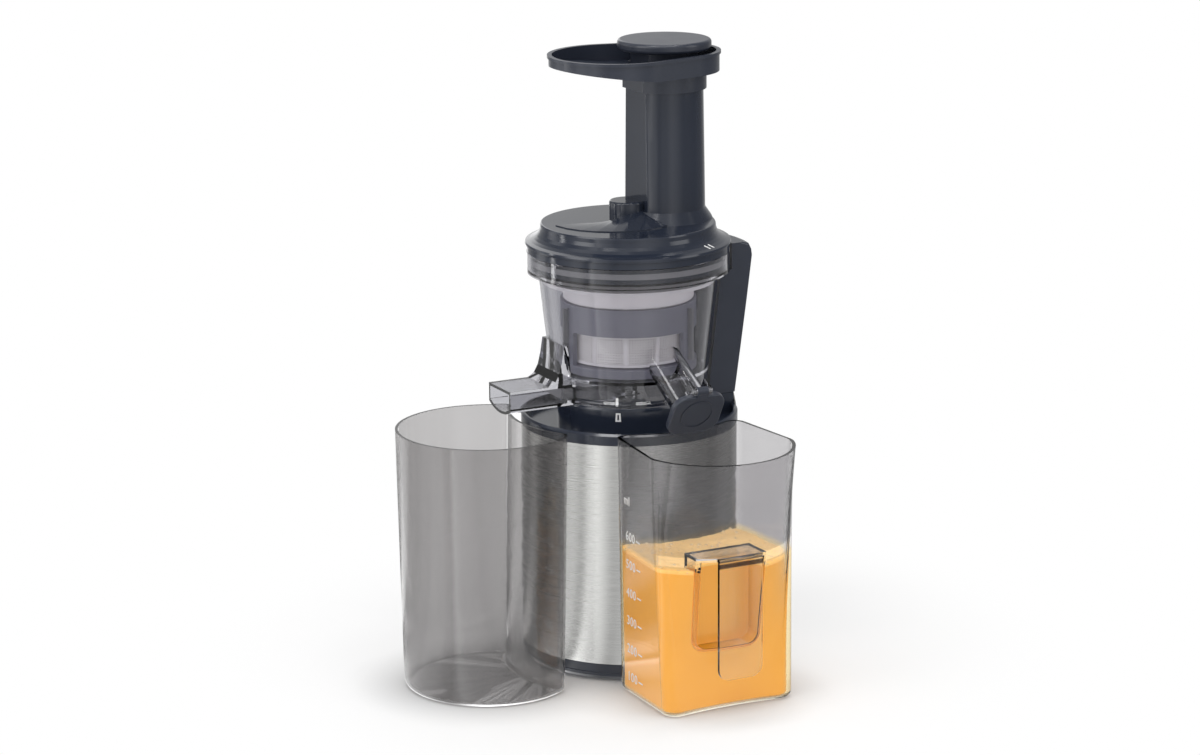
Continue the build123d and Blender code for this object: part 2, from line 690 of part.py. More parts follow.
def make_cord_grommet():
    """Bush in the sleeve where the mains cord comes out."""
    inner = (0, BASE_RADIUS - 8, INLET_Z)
    flange = along((0, 1, 0), INLET_RADIUS + 2, (0, BASE_RADIUS + 0.05, INLET_Z), (0, BASE_RADIUS + 2, INLET_Z))
    body = along((0, 1, 0), INLET_RADIUS, inner, (0, BASE_RADIUS + 2, INLET_Z))
    tail = along((0, 1, 0), INLET_RADIUS - 1.4, inner, (0, BASE_RADIUS + 7, INLET_Z))
    bore = along((0, 1, 0), INLET_BORE, (0, BASE_RADIUS - 9, INLET_Z), (0, BASE_RADIUS + 8, INLET_Z))
    return flange + body + tail - bore


def make_control_board():
    """Circuit board with its largest parts, hung on edge beside the motor."""
    board = block((-BOARD_HALF, BOARD_HALF), (BOARD_Y, BOARD_Y + BOARD_THICK), (40, BOARD_TOP))
    capacitor = along((0, 1, 0), 6, (-10, 42, 82), (-10, 52, 82))
    relay = block((4, 18), (41, 52), (74, 88))
    rectifier = block((-18, -6), (48, 52), (50, 62))
    return board + capacitor + relay + rectifier


# ================================================================== motor
def make_motor_can():
    """Deep-drawn motor casing, open at the bottom, with cooling windows."""
    can = tube(MOTOR_RADIUS, MOTOR_RADIUS - MOTOR_WALL, MOTOR_LOW + 6, MOTOR_TOP)
    can += tube(MOTOR_RADIUS, MOTOR_SHAFT + 2, MOTOR_TOP - MOTOR_WALL, MOTOR_TOP)
    seat = MOTOR_TOP - BEARING_WIDTH - 0.5
    can += tube(BEARING_OUTER + 2, BEARING_OUTER, seat, MOTOR_TOP - MOTOR_WALL)
    for turn in range(4):
        window = block((MOTOR_RADIUS - 5, MOTOR_RADIUS + 5), (-5, 5), (MOTOR_TOP - 14, MOTOR_TOP - 8))
        can -= Rot(0, 0, 45 + 90 * turn) * window
    return can


def make_motor_end_cap():
    """Lower bracket with the bearing seat and the brush holders."""
    cap = tube(MOTOR_RADIUS - MOTOR_WALL - 0.1, BEARING_OUTER, MOTOR_LOW + 14, MOTOR_LOW + 18)
    cap += tube(BEARING_OUTER + 2, BEARING_OUTER, MOTOR_LOW + 12, MOTOR_LOW + 19)
    for side in (-1, 1):
        holder = block((12.4, 26), (-4, 4), (MOTOR_LOW + 18, MOTOR_LOW + 27))
        holder -= block((12, 27), (-2.6, 2.6), (MOTOR_LOW + 19.4, MOTOR_LOW + 25.6))
        cap += Rot(0, 0, 90 - 90 * side) * holder
    return cap


def make_motor_magnets():
    """Two curved field magnets."""
    ring = tube(MOTOR_RADIUS - MOTOR_WALL - 0.1, MOTOR_RADIUS - MOTOR_WALL - MAGNET, MOTOR_LOW + 30, MOTOR_TOP - 16)
    halves = [ring & block(limits, (-40, 40), (0, 120)) for limits in ((8, 40), (-40, -8))]
    return Compound(children=halves)


def make_carbon_brushes():
    """Two brushes that press on the commutator."""
    brushes = []
    for side in (-1, 1):
        brush = block((10.4, 22), (-2.4, 2.4), (MOTOR_LOW + 19.6, MOTOR_LOW + 25.4))
        brushes.append(Rot(0, 0, 90 - 90 * side) * brush)
    return Compound(children=brushes)


def make_motor_bearings():
    """Ball bearings at both ends of the motor shaft."""
    bore = MOTOR_SHAFT + RUN
    top = MOTOR_TOP - MOTOR_WALL - 0.05
    lower = tube(BEARING_OUTER - 0.02, bore, MOTOR_LOW + 12.5, MOTOR_LOW + 12.5 + BEARING_WIDTH)
    upper = tube(BEARING_OUTER - 0.02, bore, top - BEARING_WIDTH + 2, top)
    return Compound(children=[lower, upper])


def make_armature():
    """Motor shaft with its slotted core, windings and commutator."""
    shaft = rod(MOTOR_SHAFT, MOTOR_LOW - 6, STAGE_1[1] + 1)
    core = rod(ARMATURE_RADIUS, MOTOR_LOW + 34, MOTOR_TOP - 20)
    for slot in range(12):
        cut = block((ARMATURE_RADIUS - 3, ARMATURE_RADIUS + 1), (-1, 1), (0, 120))
        core -= Rot(0, 0, slot * 30) * cut
    windings = rod(ARMATURE_RADIUS - 4, MOTOR_LOW + 30, MOTOR_TOP - 16)
    commutator = rod(10.0, MOTOR_LOW + 19, MOTOR_LOW + 28)
    return shaft + core + windings + commutator


def make_cooling_fan():
    """Radial fan on the lower shaft end."""
    low = MOTOR_LOW - 6
    fan = rod(FAN_RADIUS, low + 6, low + 7.5) + rod(8, low, low + 7.5)
    for blade in range(FAN_BLADES):
        vane = block((6, FAN_RADIUS), (-0.7, 0.7), (low, low + 6.5))
        fan += Rot(0, 0, blade * 360 / FAN_BLADES) * vane
    return fan - rod(MOTOR_SHAFT, low - 1, low + 9)


# ================================================================== reduction gear
FIRST_DISTANCE = FAST_MODULE * (PINION_TEETH + FIRST_BIG_TEETH) / 2
MIDDLE_DISTANCE = FAST_MODULE * (FIRST_SMALL_TEETH + SECOND_BIG_TEETH) / 2
SECOND_DISTANCE = SLOW_MODULE * (SECOND_SMALL_TEETH + OUTPUT_TEETH) / 2
FIRST_ANGLE = 200.0


def second_angle():
    """Direction of the second axle, from the triangle of centre distances."""
    cosine = (FIRST_DISTANCE ** 2 + SECOND_DISTANCE ** 2 - MIDDLE_DISTANCE ** 2)
    cosine /= 2 * FIRST_DISTANCE * SECOND_DISTANCE
    return FIRST_ANGLE + math.degrees(math.acos(cosine))


def on_circle(distance, angle):
    """Point at a distance and an angle in degrees."""
    return (distance * math.cos(math.radians(angle)), distance * math.sin(math.radians(angle)))


FIRST_AXLE = on_circle(FIRST_DISTANCE, FIRST_ANGLE)
SECOND_AXLE = on_circle(SECOND_DISTANCE, second_angle())
MIDDLE_ANGLE = math.degrees(math.atan2(SECOND_AXLE[1] - FIRST_AXLE[1], SECOND_AXLE[0] - FIRST_AXLE[0]))
FIRST_BIG_PHASE = meshing_phase(FIRST_ANGLE, 0, PINION_TEETH, FIRST_BIG_TEETH)
SECOND_BIG_PHASE = meshing_phase(MIDDLE_ANGLE, 0, FIRST_SMALL_TEETH, SECOND_BIG_TEETH)
OUTPUT_PHASE = meshing_phase(second_angle() + 180, 0, SECOND_SMALL_TEETH, OUTPUT_TEETH)


def make_motor_pinion():
    """Steel pinion on the motor shaft."""
    return gear(PINION_TEETH, FAST_MODULE, 0, STAGE_1, (0, 0), MOTOR_SHAFT)


def make_first_gear():
    """Compound gear: the large wheel meshes with the motor pinion."""
    bore = AXLE_RADIUS + RUN
    wheel = gear(FIRST_BIG_TEETH, FAST_MODULE, FIRST_BIG_PHASE, STAGE_1, (0, 0), bore)
    small = gear(FIRST_SMALL_TEETH, FAST_MODULE, 0, (STAGE_1[1] - 1, STAGE_2[1] + 0.5), (0, 0), bore)
    return Pos(*FIRST_AXLE, 0) * (wheel + small)


def make_second_gear():
    """Compound gear between the first gear and the output gear."""
    bore = AXLE_RADIUS + RUN
    wheel = gear(SECOND_BIG_TEETH, FAST_MODULE, SECOND_BIG_PHASE, STAGE_2, (0, 0), bore)
    small = gear(SECOND_SMALL_TEETH, SLOW_MODULE, 0, (STAGE_2[1] - 1, STAGE_3[1] + 0.5), (0, 0), bore)
    return Pos(*SECOND_AXLE, 0) * (wheel + small)


def make_output_gear():
    """Large last gear on the drive shaft."""
    wheel = gear(OUTPUT_TEETH, SLOW_MODULE, OUTPUT_PHASE, STAGE_3, (0, 0), OUTPUT_SHAFT)
    web = tube(OUTPUT_TEETH * SLOW_MODULE / 2 - 5, OUTPUT_SHAFT + 4, STAGE_3[1] - 3, STAGE_3[1] + 1)
    return wheel - web


def hexagon(flats):
    """Hexagon with a width across its flats."""
    return RegularPolygon(radius=flats / 2, side_count=6, major_radius=False)


def make_output_shaft():
    """Drive shaft: round in its bearings, hexagonal in the bowl."""
    round_part = rod(OUTPUT_SHAFT, STAGE_3[0] - 2, NECK_TOP + 3)
    hex_part = prism(hexagon(HEX_FLATS), NECK_TOP, HEX_TOP - 1)
    tip = Pos(0, 0, HEX_TOP - 1) * extrude(hexagon(HEX_FLATS), 1, taper=30)
    return round_part + hex_part + tip


def make_output_bearings():
    """Two bearings in the tower of the gearbox."""
    outer = OUTPUT_BEARING_OUTER - 0.02
    bore = OUTPUT_SHAFT + RUN
    low = tube(outer, bore, GEARBOX_TOP + 1, GEARBOX_TOP + 1 + OUTPUT_BEARING_WIDTH)
    high = tube(outer, bore, TOWER_TOP - OUTPUT_BEARING_WIDTH, TOWER_TOP)
    return Compound(children=[low, high])


def make_gearbox_base():
    """Lower plate of the gearbox, on the motor."""
    low = GEARBOX_LOW
    plate = rod(GEARBOX_RADIUS, low, low + GEARBOX_PLATE) - rod(MOTOR_SHAFT + 2, low - 1, low + 5)
    for x, y in (FIRST_AXLE, SECOND_AXLE):
        plate += rod(AXLE_RADIUS + 3, low, STAGE_1[0] - 1, x, y)
        plate -= rod(AXLE_RADIUS, low + 1, STAGE_1[0], x, y)
    plate += tube(SLEEVE_INNER - 2, GEARBOX_RADIUS - 2, low, low + GEARBOX_PLATE)
    column_ring = tube(MOTOR_RADIUS + 3, MOTOR_RADIUS + 0.2, MOTOR_TOP - 8, low + 1)
    plate += column_ring
    for x, y in screw_places(GEARBOX_SCREW_CIRCLE, GEARBOX_SCREW_ANGLES):
        plate -= rod(SCREW_RADIUS + 0.1, low - 1, low + GEARBOX_PLATE + 1, x, y)
    slot = block((-BOARD_HALF - FIT, BOARD_HALF + FIT), (BOARD_Y - FIT, BOARD_Y + BOARD_THICK + FIT),
                 (BOARD_TOP - 20, BOARD_TOP + FIT))
    for side in (-1, 1):
        limits = sorted((side * (BOARD_HALF - 2), side * (BOARD_HALF + 2)))
        plate += block(limits, (BOARD_Y - 2, BOARD_Y + BOARD_THICK + 2), (BOARD_TOP - 12, low + 1))
    return plate + base_columns() - slot


GEARBOX_SCREW_CIRCLE = 60.5
GEARBOX_SCREW_ANGLES = [30, 90, 150, 330]


def base_columns():
    """Four columns that carry the drive train on the bottom pan."""
    columns = [tube(SCREW_RADIUS + 2.2, SCREW_RADIUS, FOOT_TOP + 0.1, GEARBOX_LOW + 1, x, y)
               for x, y in screw_places(BASE_SCREW_CIRCLE, BASE_SCREW_ANGLES)]
    return columns[0] + columns[1] + columns[2] + columns[3]


def make_gearbox_cover():
    """Upper gearbox case with the bearing tower."""
    low = GEARBOX_LOW + GEARBOX_PLATE + 0.05
    case = tube(GEARBOX_RADIUS, GEARBOX_RADIUS - GEARBOX_WALL, low, GEARBOX_TOP)
    case += tube(GEARBOX_RADIUS, OUTPUT_BEARING_OUTER, GEARBOX_TOP - GEARBOX_WALL, GEARBOX_TOP)
    case += tube(TOWER_RADIUS, OUTPUT_BEARING_OUTER, GEARBOX_TOP - GEARBOX_WALL, TOWER_TOP)
    shelf = GEARBOX_TOP - GEARBOX_WALL
    case += tube(TOWER_RADIUS, OUTPUT_SHAFT + 1.5, shelf, shelf + 2)
    for x, y in (FIRST_AXLE, SECOND_AXLE):
        case += rod(AXLE_RADIUS + 2, STAGE_3[1] + 1, GEARBOX_TOP, x, y)
        case -= rod(AXLE_RADIUS, STAGE_3[1], GEARBOX_TOP - 1, x, y)
    for x, y in screw_places(GEARBOX_SCREW_CIRCLE, GEARBOX_SCREW_ANGLES):
        case += rod(SCREW_RADIUS + 2, low, low + 14, x, y)
        case -= rod(SCREW_RADIUS, low - 1, low + 12, x, y)
    return case


def make_gear_shafts():
    """Two fixed axles of the compound gears."""
    return Compound(children=[rod(AXLE_RADIUS - 0.01, GEARBOX_LOW + 1, GEARBOX_TOP - 1, x, y)
                              for x, y in (FIRST_AXLE, SECOND_AXLE)])


def screw(x, y, head_low, length):
    """Screw pointing upwards with its head at the bottom and a cross recess."""
    body = rod(SCREW_HEAD, head_low, head_low + 1.8, x, y) + rod(SCREW_RADIUS - 0.05, head_low, head_low + length, x, y)
    cross = block((x - 1.8, x + 1.8), (y - 0.35, y + 0.35), (head_low - 1, head_low + 1))
    cross += block((x - 0.35, x + 0.35), (y - 1.8, y + 1.8), (head_low - 1, head_low + 1))
    return body - cross


def make_base_screws():
    """Four screws that hold the pan to the columns."""
    places = screw_places(BASE_SCREW_CIRCLE, BASE_SCREW_ANGLES)
    return Compound(children=[screw(x, y, PAN_BOTTOM + 0.6, 24) for x, y in places])


def make_gearbox_screws():
    """Four screws that close the gearbox from below."""
    places = screw_places(GEARBOX_SCREW_CIRCLE, GEARBOX_SCREW_ANGLES)
    return Compound(children=[screw(x, y, GEARBOX_LOW - 1.85, 14) for x, y in places])


def make_shaft_seal():
    """Lip seal around the drive shaft in the neck."""
    shell = tube(OUTPUT_SHAFT + 2.15, OUTPUT_SHAFT + 1.2, NECK_TOP - 6, NECK_TOP - 0.1)
    lip = tube(OUTPUT_SHAFT + 1.5, OUTPUT_SHAFT + FIT, NECK_TOP - 4, NECK_TOP - 3)
    return shell + lip


# ================================================================== bowl
def bowl_cavity():
    """Space inside the bowl above its floor."""
    inner_low = bowl_outer(FLOOR_TOP) - BOWL_WALL
    inner_high = BOWL_HIGH_RADIUS - BOWL_WALL
    rim_inner = RIM_RADIUS - BOWL_WALL
    return turned([(0, FLOOR_TOP), (inner_low, FLOOR_TOP), (inner_high, BOWL_HIGH),
                   (inner_high + 0.6, RIM_LOW + BOWL_WALL), (rim_inner, RIM_LOW + BOWL_WALL),
                   (rim_inner, RIM_TOP + 1), (0, RIM_TOP + 1)])


def spout_point(distance):
    """Point on the axis of the juice spout at a horizontal distance from the drive axis."""
    return (distance, 0, SPOUT_AXIS_Z - (distance - SPOUT_AXIS_X) * math.tan(math.radians(SPOUT_ANGLE)))


SPOUT_DIRECTION = (math.cos(math.radians(SPOUT_ANGLE)), 0, -math.sin(math.radians(SPOUT_ANGLE)))
SPOUT_NORMAL = (math.sin(math.radians(SPOUT_ANGLE)), 0, math.cos(math.radians(SPOUT_ANGLE)))
SPOUT_MOUTH = spout_point(SPOUT_END)


def spout_frame(out, up):
    """Point near the spout mouth, offset along the spout axis and its upward normal."""
    return (SPOUT_MOUTH[0] + out * SPOUT_DIRECTION[0] + up * SPOUT_NORMAL[0], 0,
            SPOUT_MOUTH[2] + out * SPOUT_DIRECTION[2] + up * SPOUT_NORMAL[2])


HINGE_POINT = spout_frame(HINGE_OUT, HINGE_UP)


def pulp_section(inset):
    """Section of the pulp spout: flat on top, bowed at the bottom, deeper on the side of the jug."""
    half = PULP_HALF - inset
    top = PULP_TOP - inset
    low = PULP_SIDE_LOW + inset
    near_low = PULP_NEAR_LOW + inset
    sides = Polyline((-half, 0, low), (-half, 0, top), (half, 0, top), (half, 0, near_low))
    bow = ThreePointArc((half, 0, near_low), (PULP_HALF / 3, 0, PULP_BOTTOM + inset), (-half, 0, low))
    return make_face(sides + bow)


def pulp_outside():
    """Outer body of the pulp duct, inside and outside the skirt."""
    spout = extrude(pulp_section(0), PULP_REACH, dir=(0, -1, 0)) & block((-30, 30), (-PULP_REACH, -52), (150, 250))
    duct = block((-PULP_HALF, PULP_HALF), (-53, -12), (SEAT, FLOOR_LOW + 1))
    shoulder = side_prism([(-50, PULP_SHOULDER[0][1])] + PULP_SHOULDER + [(-50, PULP_SHOULDER[-1][1])], PULP_HALF)
    return spout + duct + shoulder


def pulp_inside():
    """Hollow of the pulp duct with its port in the bowl floor."""
    spout = extrude(pulp_section(PULP_WALL), PULP_REACH + 1, dir=(0, -1, 0))
    spout &= block((-30, 30), (-PULP_REACH - 1, -14), (SEAT + PULP_WALL, 250))
    outer_part = extrude(pulp_section(PULP_WALL), PULP_REACH + 1, dir=(0, -1, 0))
    outer_part &= block((-30, 30), (-PULP_REACH - 1, -56), (150, 250))
    port = block((-PULP_PORT_HALF, PULP_PORT_HALF), (-PULP_PORT_TO, -PULP_PORT_FROM), (PULP_TOP - 5, STRAINER_FLOOR))
    return spout + outer_part + port


def hinge_lugs():
    """Two lugs over the spout mouth that carry the cap pin."""
    lugs = []
    inner = HINGE_BARREL_HALF + GAP
    plane = Plane(origin=SPOUT_MOUTH, x_dir=SPOUT_DIRECTION, z_dir=SPOUT_NORMAL)
    for side in (-1, 1):
        limits = sorted((side * inner, side * (inner + HINGE_LUG)))
        foot = block((-7, -0.5), limits, (SPOUT_RADIUS - 3, HINGE_UP - 1))
        arm = block((-7, HINGE_OUT), limits, (HINGE_UP - HINGE_EYE, HINGE_UP + HINGE_EYE))
        eye = along((0, 1, 0), HINGE_EYE, (HINGE_OUT, limits[0], HINGE_UP), (HINGE_OUT, limits[1], HINGE_UP))
        lugs.append(plane * (foot + arm + eye))
    return lugs[0] + lugs[1]


def make_juice_bowl():
    """Clear bowl with its juice spout, pulp duct and shaft collar."""
    skirt_inner = BOWL_LOW_RADIUS - BOWL_WALL
    shell = turned([
        (skirt_inner, SEAT), (BOWL_FLANGE, SEAT), (BOWL_FLANGE, SEAT + 2.4), (BOWL_LOW_RADIUS, BOWL_LOW),
        (BOWL_HIGH_RADIUS, BOWL_HIGH), (BOWL_HIGH_RADIUS + 1.4, RIM_LOW), (RIM_RADIUS, RIM_LOW),
        (RIM_RADIUS, RIM_TOP), (0, RIM_TOP), (0, FLOOR_LOW), (skirt_inner, FLOOR_LOW)])
    start = spout_point(SPOUT_START)
    spout = along(SPOUT_DIRECTION, SPOUT_RADIUS, start, SPOUT_MOUTH)
    bowl = shell + spout + hinge_lugs() + pulp_outside() - bowl_cavity()
    rib = block((skirt_inner - BOWL_RIB_REACH, skirt_inner + 0.5), (-BOWL_RIB_HALF, BOWL_RIB_HALF),
                (SEAT + 0.4, BOWL_RIB_HIGH))
    for angle in BOWL_RIB_ANGLES:
        bowl += Rot(0, 0, angle) * rib
    collar = COLLAR_BORE + COLLAR_WALL
    bowl += rod(collar, FLOOR_LOW - 3, COLLAR_TOP)
    port = (-PULP_PORT_TO - 1.4, -PULP_PORT_FROM + 1.4)
    bowl += block((-PULP_PORT_HALF - 1.4, PULP_PORT_HALF + 1.4), port, (FLOOR_LOW, STRAINER_FLOOR - 0.4))
    bowl -= rod(COLLAR_BORE, SEAT, COLLAR_TOP + 1)
    bowl -= along(SPOUT_DIRECTION, SPOUT_BORE, start, spout_point(SPOUT_END + 5))
    bowl -= pulp_inside()
    bowl += rod(4.0, FLOOR_LOW, GEAR_LOW - 0.4, *IDLER_PLACE)
    bowl -= rod(IDLER_PIN_RADIUS, FLOOR_LOW + 0.8, GEAR_LOW, *IDLER_PLACE)
    hinge_hole = HINGE_BARREL_HALF + HINGE_LUG + 2
    bowl -= along((0, 1, 0), HINGE_PIN, (HINGE_POINT[0], -hinge_hole, HINGE_POINT[2]),
                  (HINGE_POINT[0], hinge_hole, HINGE_POINT[2]))
    return bowl


IDLER_DISTANCE = BRUSH_MODULE * AUGER_TEETH
IDLER_PLACE = (0, IDLER_DISTANCE)
IDLER_PHASE = meshing_phase(90, 0, AUGER_TEETH, AUGER_TEETH)
RING_PHASE = 90 + 180 / RING_TEETH - (90 - IDLER_PHASE) * AUGER_TEETH / RING_TEETH


def make_bowl_foot_seal():
    """Soft ring under the floor that seals against the shaft collar."""
    outer = COLLAR_BORE + COLLAR_WALL + 3
    return tube(outer, COLLAR_BORE + COLLAR_WALL + 0.02, FLOOR_LOW - 3, FLOOR_LOW - 0.02)


def make_pulp_flap():
    """Soft flap that holds pressure in the pulp duct."""
    half = PULP_HALF - PULP_WALL - 1.0
    low = PULP_SIDE_LOW + PULP_WALL + 1.0
    flap = block((-half, half), (-60.0, -58.6), (low, PULP_TOP - PULP_WALL - 0.05))
    return flap


def make_cap_hinge_pin():
    """Steel pin of the spout cap."""
    half = HINGE_BARREL_HALF + HINGE_LUG + GAP
    x, _, z = HINGE_POINT
    return along((0, 1, 0), HINGE_PIN - 0.01, (x, -half, z), (x, half, z))


def make_spout_cap():
    """Black flip cap with a round embossed ring and its hinge barrel."""
    plane = Plane(origin=SPOUT_MOUTH, x_dir=SPOUT_DIRECTION, z_dir=SPOUT_NORMAL)
    plate = block((GAP, CAP_THICK + GAP), (-CAP_HALF, CAP_HALF), (-CAP_DROP, CAP_RISE))
    plate = fillet(plate.edges().filter_by(Axis.X), CAP_CORNER)
    face_edges = plate.faces().sort_by(Axis.X)[-1].edges()
    plate = fillet(face_edges, 1.2)
    ring_plane = Plane(origin=(CAP_THICK + GAP, 0, 0), z_dir=(1, 0, 0))
    ring = ring_plane * (Cylinder(CAP_RING, 0.8) - Cylinder(CAP_RING - 1.0, 0.8))
    strap = block((GAP + 0.4, CAP_THICK + GAP), (-HINGE_BARREL_HALF, HINGE_BARREL_HALF), (CAP_RISE - 1, HINGE_UP))
    cap = plane * (plate + ring + strap)
    x, _, z = HINGE_POINT
    barrel = along((0, 1, 0), HINGE_BARREL, (x, -HINGE_BARREL_HALF, z), (x, HINGE_BARREL_HALF, z))
    hole = along((0, 1, 0), HINGE_PIN + RUN, (x, -HINGE_BARREL_HALF - 1, z), (x, HINGE_BARREL_HALF + 1, z))
    return cap + barrel - hole


def make_spout_plug():
    """Soft plug on the inside of the cap that closes the spout."""
    plane = Plane(origin=SPOUT_MOUTH, x_dir=SPOUT_DIRECTION, z_dir=SPOUT_NORMAL)
    disc_plane = Plane(origin=(GAP - PLUG_LENGTH, 0, 0), z_dir=(1, 0, 0))
    radius = SPOUT_BORE - 1.6
    plug = disc_plane * (Pos(0, 0, PLUG_LENGTH / 2) * Cone(radius - 1.2, radius, PLUG_LENGTH))
    return plane * plug


def make_idler_pin():
    """Steel pin of the idler gear."""
    return rod(IDLER_PIN_RADIUS - 0.01, FLOOR_LOW + 0.8, GEAR_TOP + 0.6, *IDLER_PLACE)


def make_idler_gear():
    """Small gear between the auger and the brush ring."""
    return gear(AUGER_TEETH, BRUSH_MODULE, IDLER_PHASE, (GEAR_LOW, IDLER_TOP), IDLER_PLACE, IDLER_PIN_RADIUS + RUN)


# ================================================================== brush ring and strainer
def post_angles():
    """Directions of the upright posts of the brush ring."""
    return [POST_START + 360 / HOLDER_POSTS * post for post in range(HOLDER_POSTS)]


def make_brush_holder():
    """Ring with inner teeth below and a band on posts that carries the wipers."""
    teeth_cut = prism(gear_outline(RING_TEETH, BRUSH_MODULE, RING_PHASE + 180 / RING_TEETH,
                                   GEAR_BACKLASH * 2, 1.1, 0.85), GEAR_LOW - 1, GEAR_TOP + 1)
    ring = rod(HOLDER_RADIUS, GEAR_LOW, GEAR_TOP) - teeth_cut
    band = tube(HOLDER_RADIUS, HOLDER_BORE, HOLDER_BAND_LOW, HOLDER_TOP)
    posts = tube(HOLDER_RADIUS, HOLDER_BORE, GEAR_TOP - 1, HOLDER_BAND_LOW + 1)
    kept = Rot(0, 0, post_angles()[0]) * block((0, 60), (-POST_WIDTH / 2, POST_WIDTH / 2), (200, 260))
    for angle in post_angles()[1:]:
        kept += Rot(0, 0, angle) * block((0, 60), (-POST_WIDTH / 2, POST_WIDTH / 2), (200, 260))
    holder = ring + band + (posts & kept)
    for angle in post_angles():
        slit = block((HOLDER_BORE - 2, HOLDER_RADIUS + 2), (-WIPER_THICK / 2, WIPER_THICK / 2),
                     (GEAR_TOP + 3, HOLDER_TOP - 3))
        holder -= Rot(0, 0, angle) * slit
    return holder


def make_wiper_blades():
    """Silicone wipers through the posts, just clear of strainer and bowl."""
    blades = []
    inner = STRAINER_BORE + MESH + 0.5
    for angle in post_angles():
        blade = block((inner, WIPER_OUT), (-WIPER_THICK / 2 + 0.05, WIPER_THICK / 2 - 0.05),
                      (GEAR_TOP + 3.1, HOLDER_TOP - 3.1))
        blades.append(Rot(0, 0, angle) * blade)
    return Compound(children=blades)


def make_strainer_frame():
    """Floor, ribs and top band of the strainer."""
    mesh_outer = STRAINER_BORE + MESH
    floor_top = STRAINER_FLOOR + STRAINER_FLOOR_THICK
    floor = tube(mesh_outer, AUGER_NECK + 0.5, STRAINER_FLOOR, floor_top)
    floor -= block((-PULP_PORT_HALF, PULP_PORT_HALF), (-PULP_PORT_TO, -PULP_PORT_FROM), (200, 230))
    band = tube(STRAINER_RING, STRAINER_BORE, MESH_TOP, STRAINER_TOP)
    ribs = tube(mesh_outer, STRAINER_BORE, floor_top - 1, MESH_TOP + 1)
    rib = block((30, 60), (-STRAINER_RIB_HALF, STRAINER_RIB_HALF), (200, 270))
    keep = Part() + [Rot(0, 0, angle) * rib for angle in STRAINER_RIB_ANGLES]
    flange = turned([(STRAINER_RING - 1, STRAINER_TOP - 2.5), (BOWL_HIGH_RADIUS - BOWL_WALL - 1.2, STRAINER_TOP - 2.5),
                     (BOWL_HIGH_RADIUS - BOWL_WALL - 1.2, STRAINER_TOP), (STRAINER_RING - 1, STRAINER_TOP)])
    return floor + band + (ribs & keep) + flange


def make_strainer_mesh():
    """Thin perforated wall of the strainer, between the ribs."""
    wall = tube(STRAINER_BORE + MESH - 0.1, STRAINER_BORE + 0.1, STRAINER_FLOOR + STRAINER_FLOOR_THICK, MESH_TOP)
    slot = block((30, 60), (-STRAINER_RIB_HALF - 0.05, STRAINER_RIB_HALF + 0.05), (200, 270))
    for angle in STRAINER_RIB_ANGLES:
        wall -= Rot(0, 0, angle) * slot
    return wall


# ================================================================== auger
def make_auger():
    """Screw with its gear, hollow below for the shaft collar of the bowl."""
    envelope = turned([(0, AUGER_CORE[0][1]), (AUGER_FLIGHT - 1, AUGER_CORE[0][1]), (AUGER_FLIGHT, AUGER_CORE[0][1] + 6),
                       (AUGER_FLIGHT, AUGER_FLIGHT_TOP - 14), (AUGER_FLIGHT - 12, AUGER_FLIGHT_TOP),
                       (0, AUGER_FLIGHT_TOP)])
    section = Rectangle(2 * AUGER_FLIGHT + 4, FLIGHT_THICK)
    height = AUGER_FLIGHT_TOP - AUGER_CORE[0][1]
    flights = Solid.extrude_linear_with_rotation(
        section.face(), (0, 0, 0), (0, 0, height), AUGER_TWIST)
    flights = Pos(0, 0, AUGER_CORE[0][1]) * flights
    top = AUGER_CORE[-1][1]
    core = turned([(0, GEAR_TOP - 1), (AUGER_NECK, GEAR_TOP - 1), (AUGER_NECK, AUGER_CORE[0][1])]
                  + AUGER_CORE + [(0, top)])
    wheel = prism(gear_outline(AUGER_TEETH, BRUSH_MODULE, 0), GEAR_LOW, GEAR_TOP)
    screw_body = core + (flights & envelope) + wheel
    cavity = COLLAR_BORE + COLLAR_WALL + 0.6
    screw_body -= rod(cavity, AUGER_BOTTOM - 1, COLLAR_TOP + 0.8)
    screw_body -= rod(BUSH_RADIUS, COLLAR_TOP, BUSH_TOP)
    screw_body -= rod(AUGER_PIN, BUSH_TOP + 4, top + 1)
    return screw_body


def make_auger_bush():
    """Steel bush with the hexagon socket for the drive shaft."""
    socket = prism(hexagon(HEX_FLATS + 2 * GAP), BUSH_LOW - 1, BUSH_TOP - 2)
    return rod(BUSH_RADIUS - 0.02, BUSH_LOW, BUSH_TOP - 0.05) - socket


def make_auger_pin():
    """Steel journal that turns in the lid."""
    pin = rod(AUGER_PIN - 0.02, BUSH_TOP + 4.05, AUGER_PIN_TOP)
    return fillet(pin.edges().sort_by(Axis.Z)[-1], 1.0)


# ================================================================== lid
def ramp_section(share):
    """Upright section of the ramp from the hub to its outer edge, at a share of its turn."""
    angle = math.radians(RAMP_FROM + share * (RAMP_TO - RAMP_FROM))
    direction = (math.cos(angle), math.sin(angle))
    ahead = direction[0] * RAMP_CENTRE[0] + direction[1] * RAMP_CENTRE[1]
    aside_squared = RAMP_CENTRE[0] ** 2 + RAMP_CENTRE[1] ** 2 - ahead ** 2
    outer = ahead + math.sqrt(RAMP_RADIUS ** 2 - aside_squared)
    inner = HUB_RADIUS - 3
    rise = RAMP_STEP + RAMP_RISE * math.sin(math.pi / 2 * share)
    points = [(inner, LID_TOP - 1), (outer, LID_TOP - 1), (outer, LID_TOP + RAMP_STEP), (inner, LID_TOP + rise)]
    return make_face(Polyline(*[(r * direction[0], r * direction[1], z) for r, z in points], close=True))


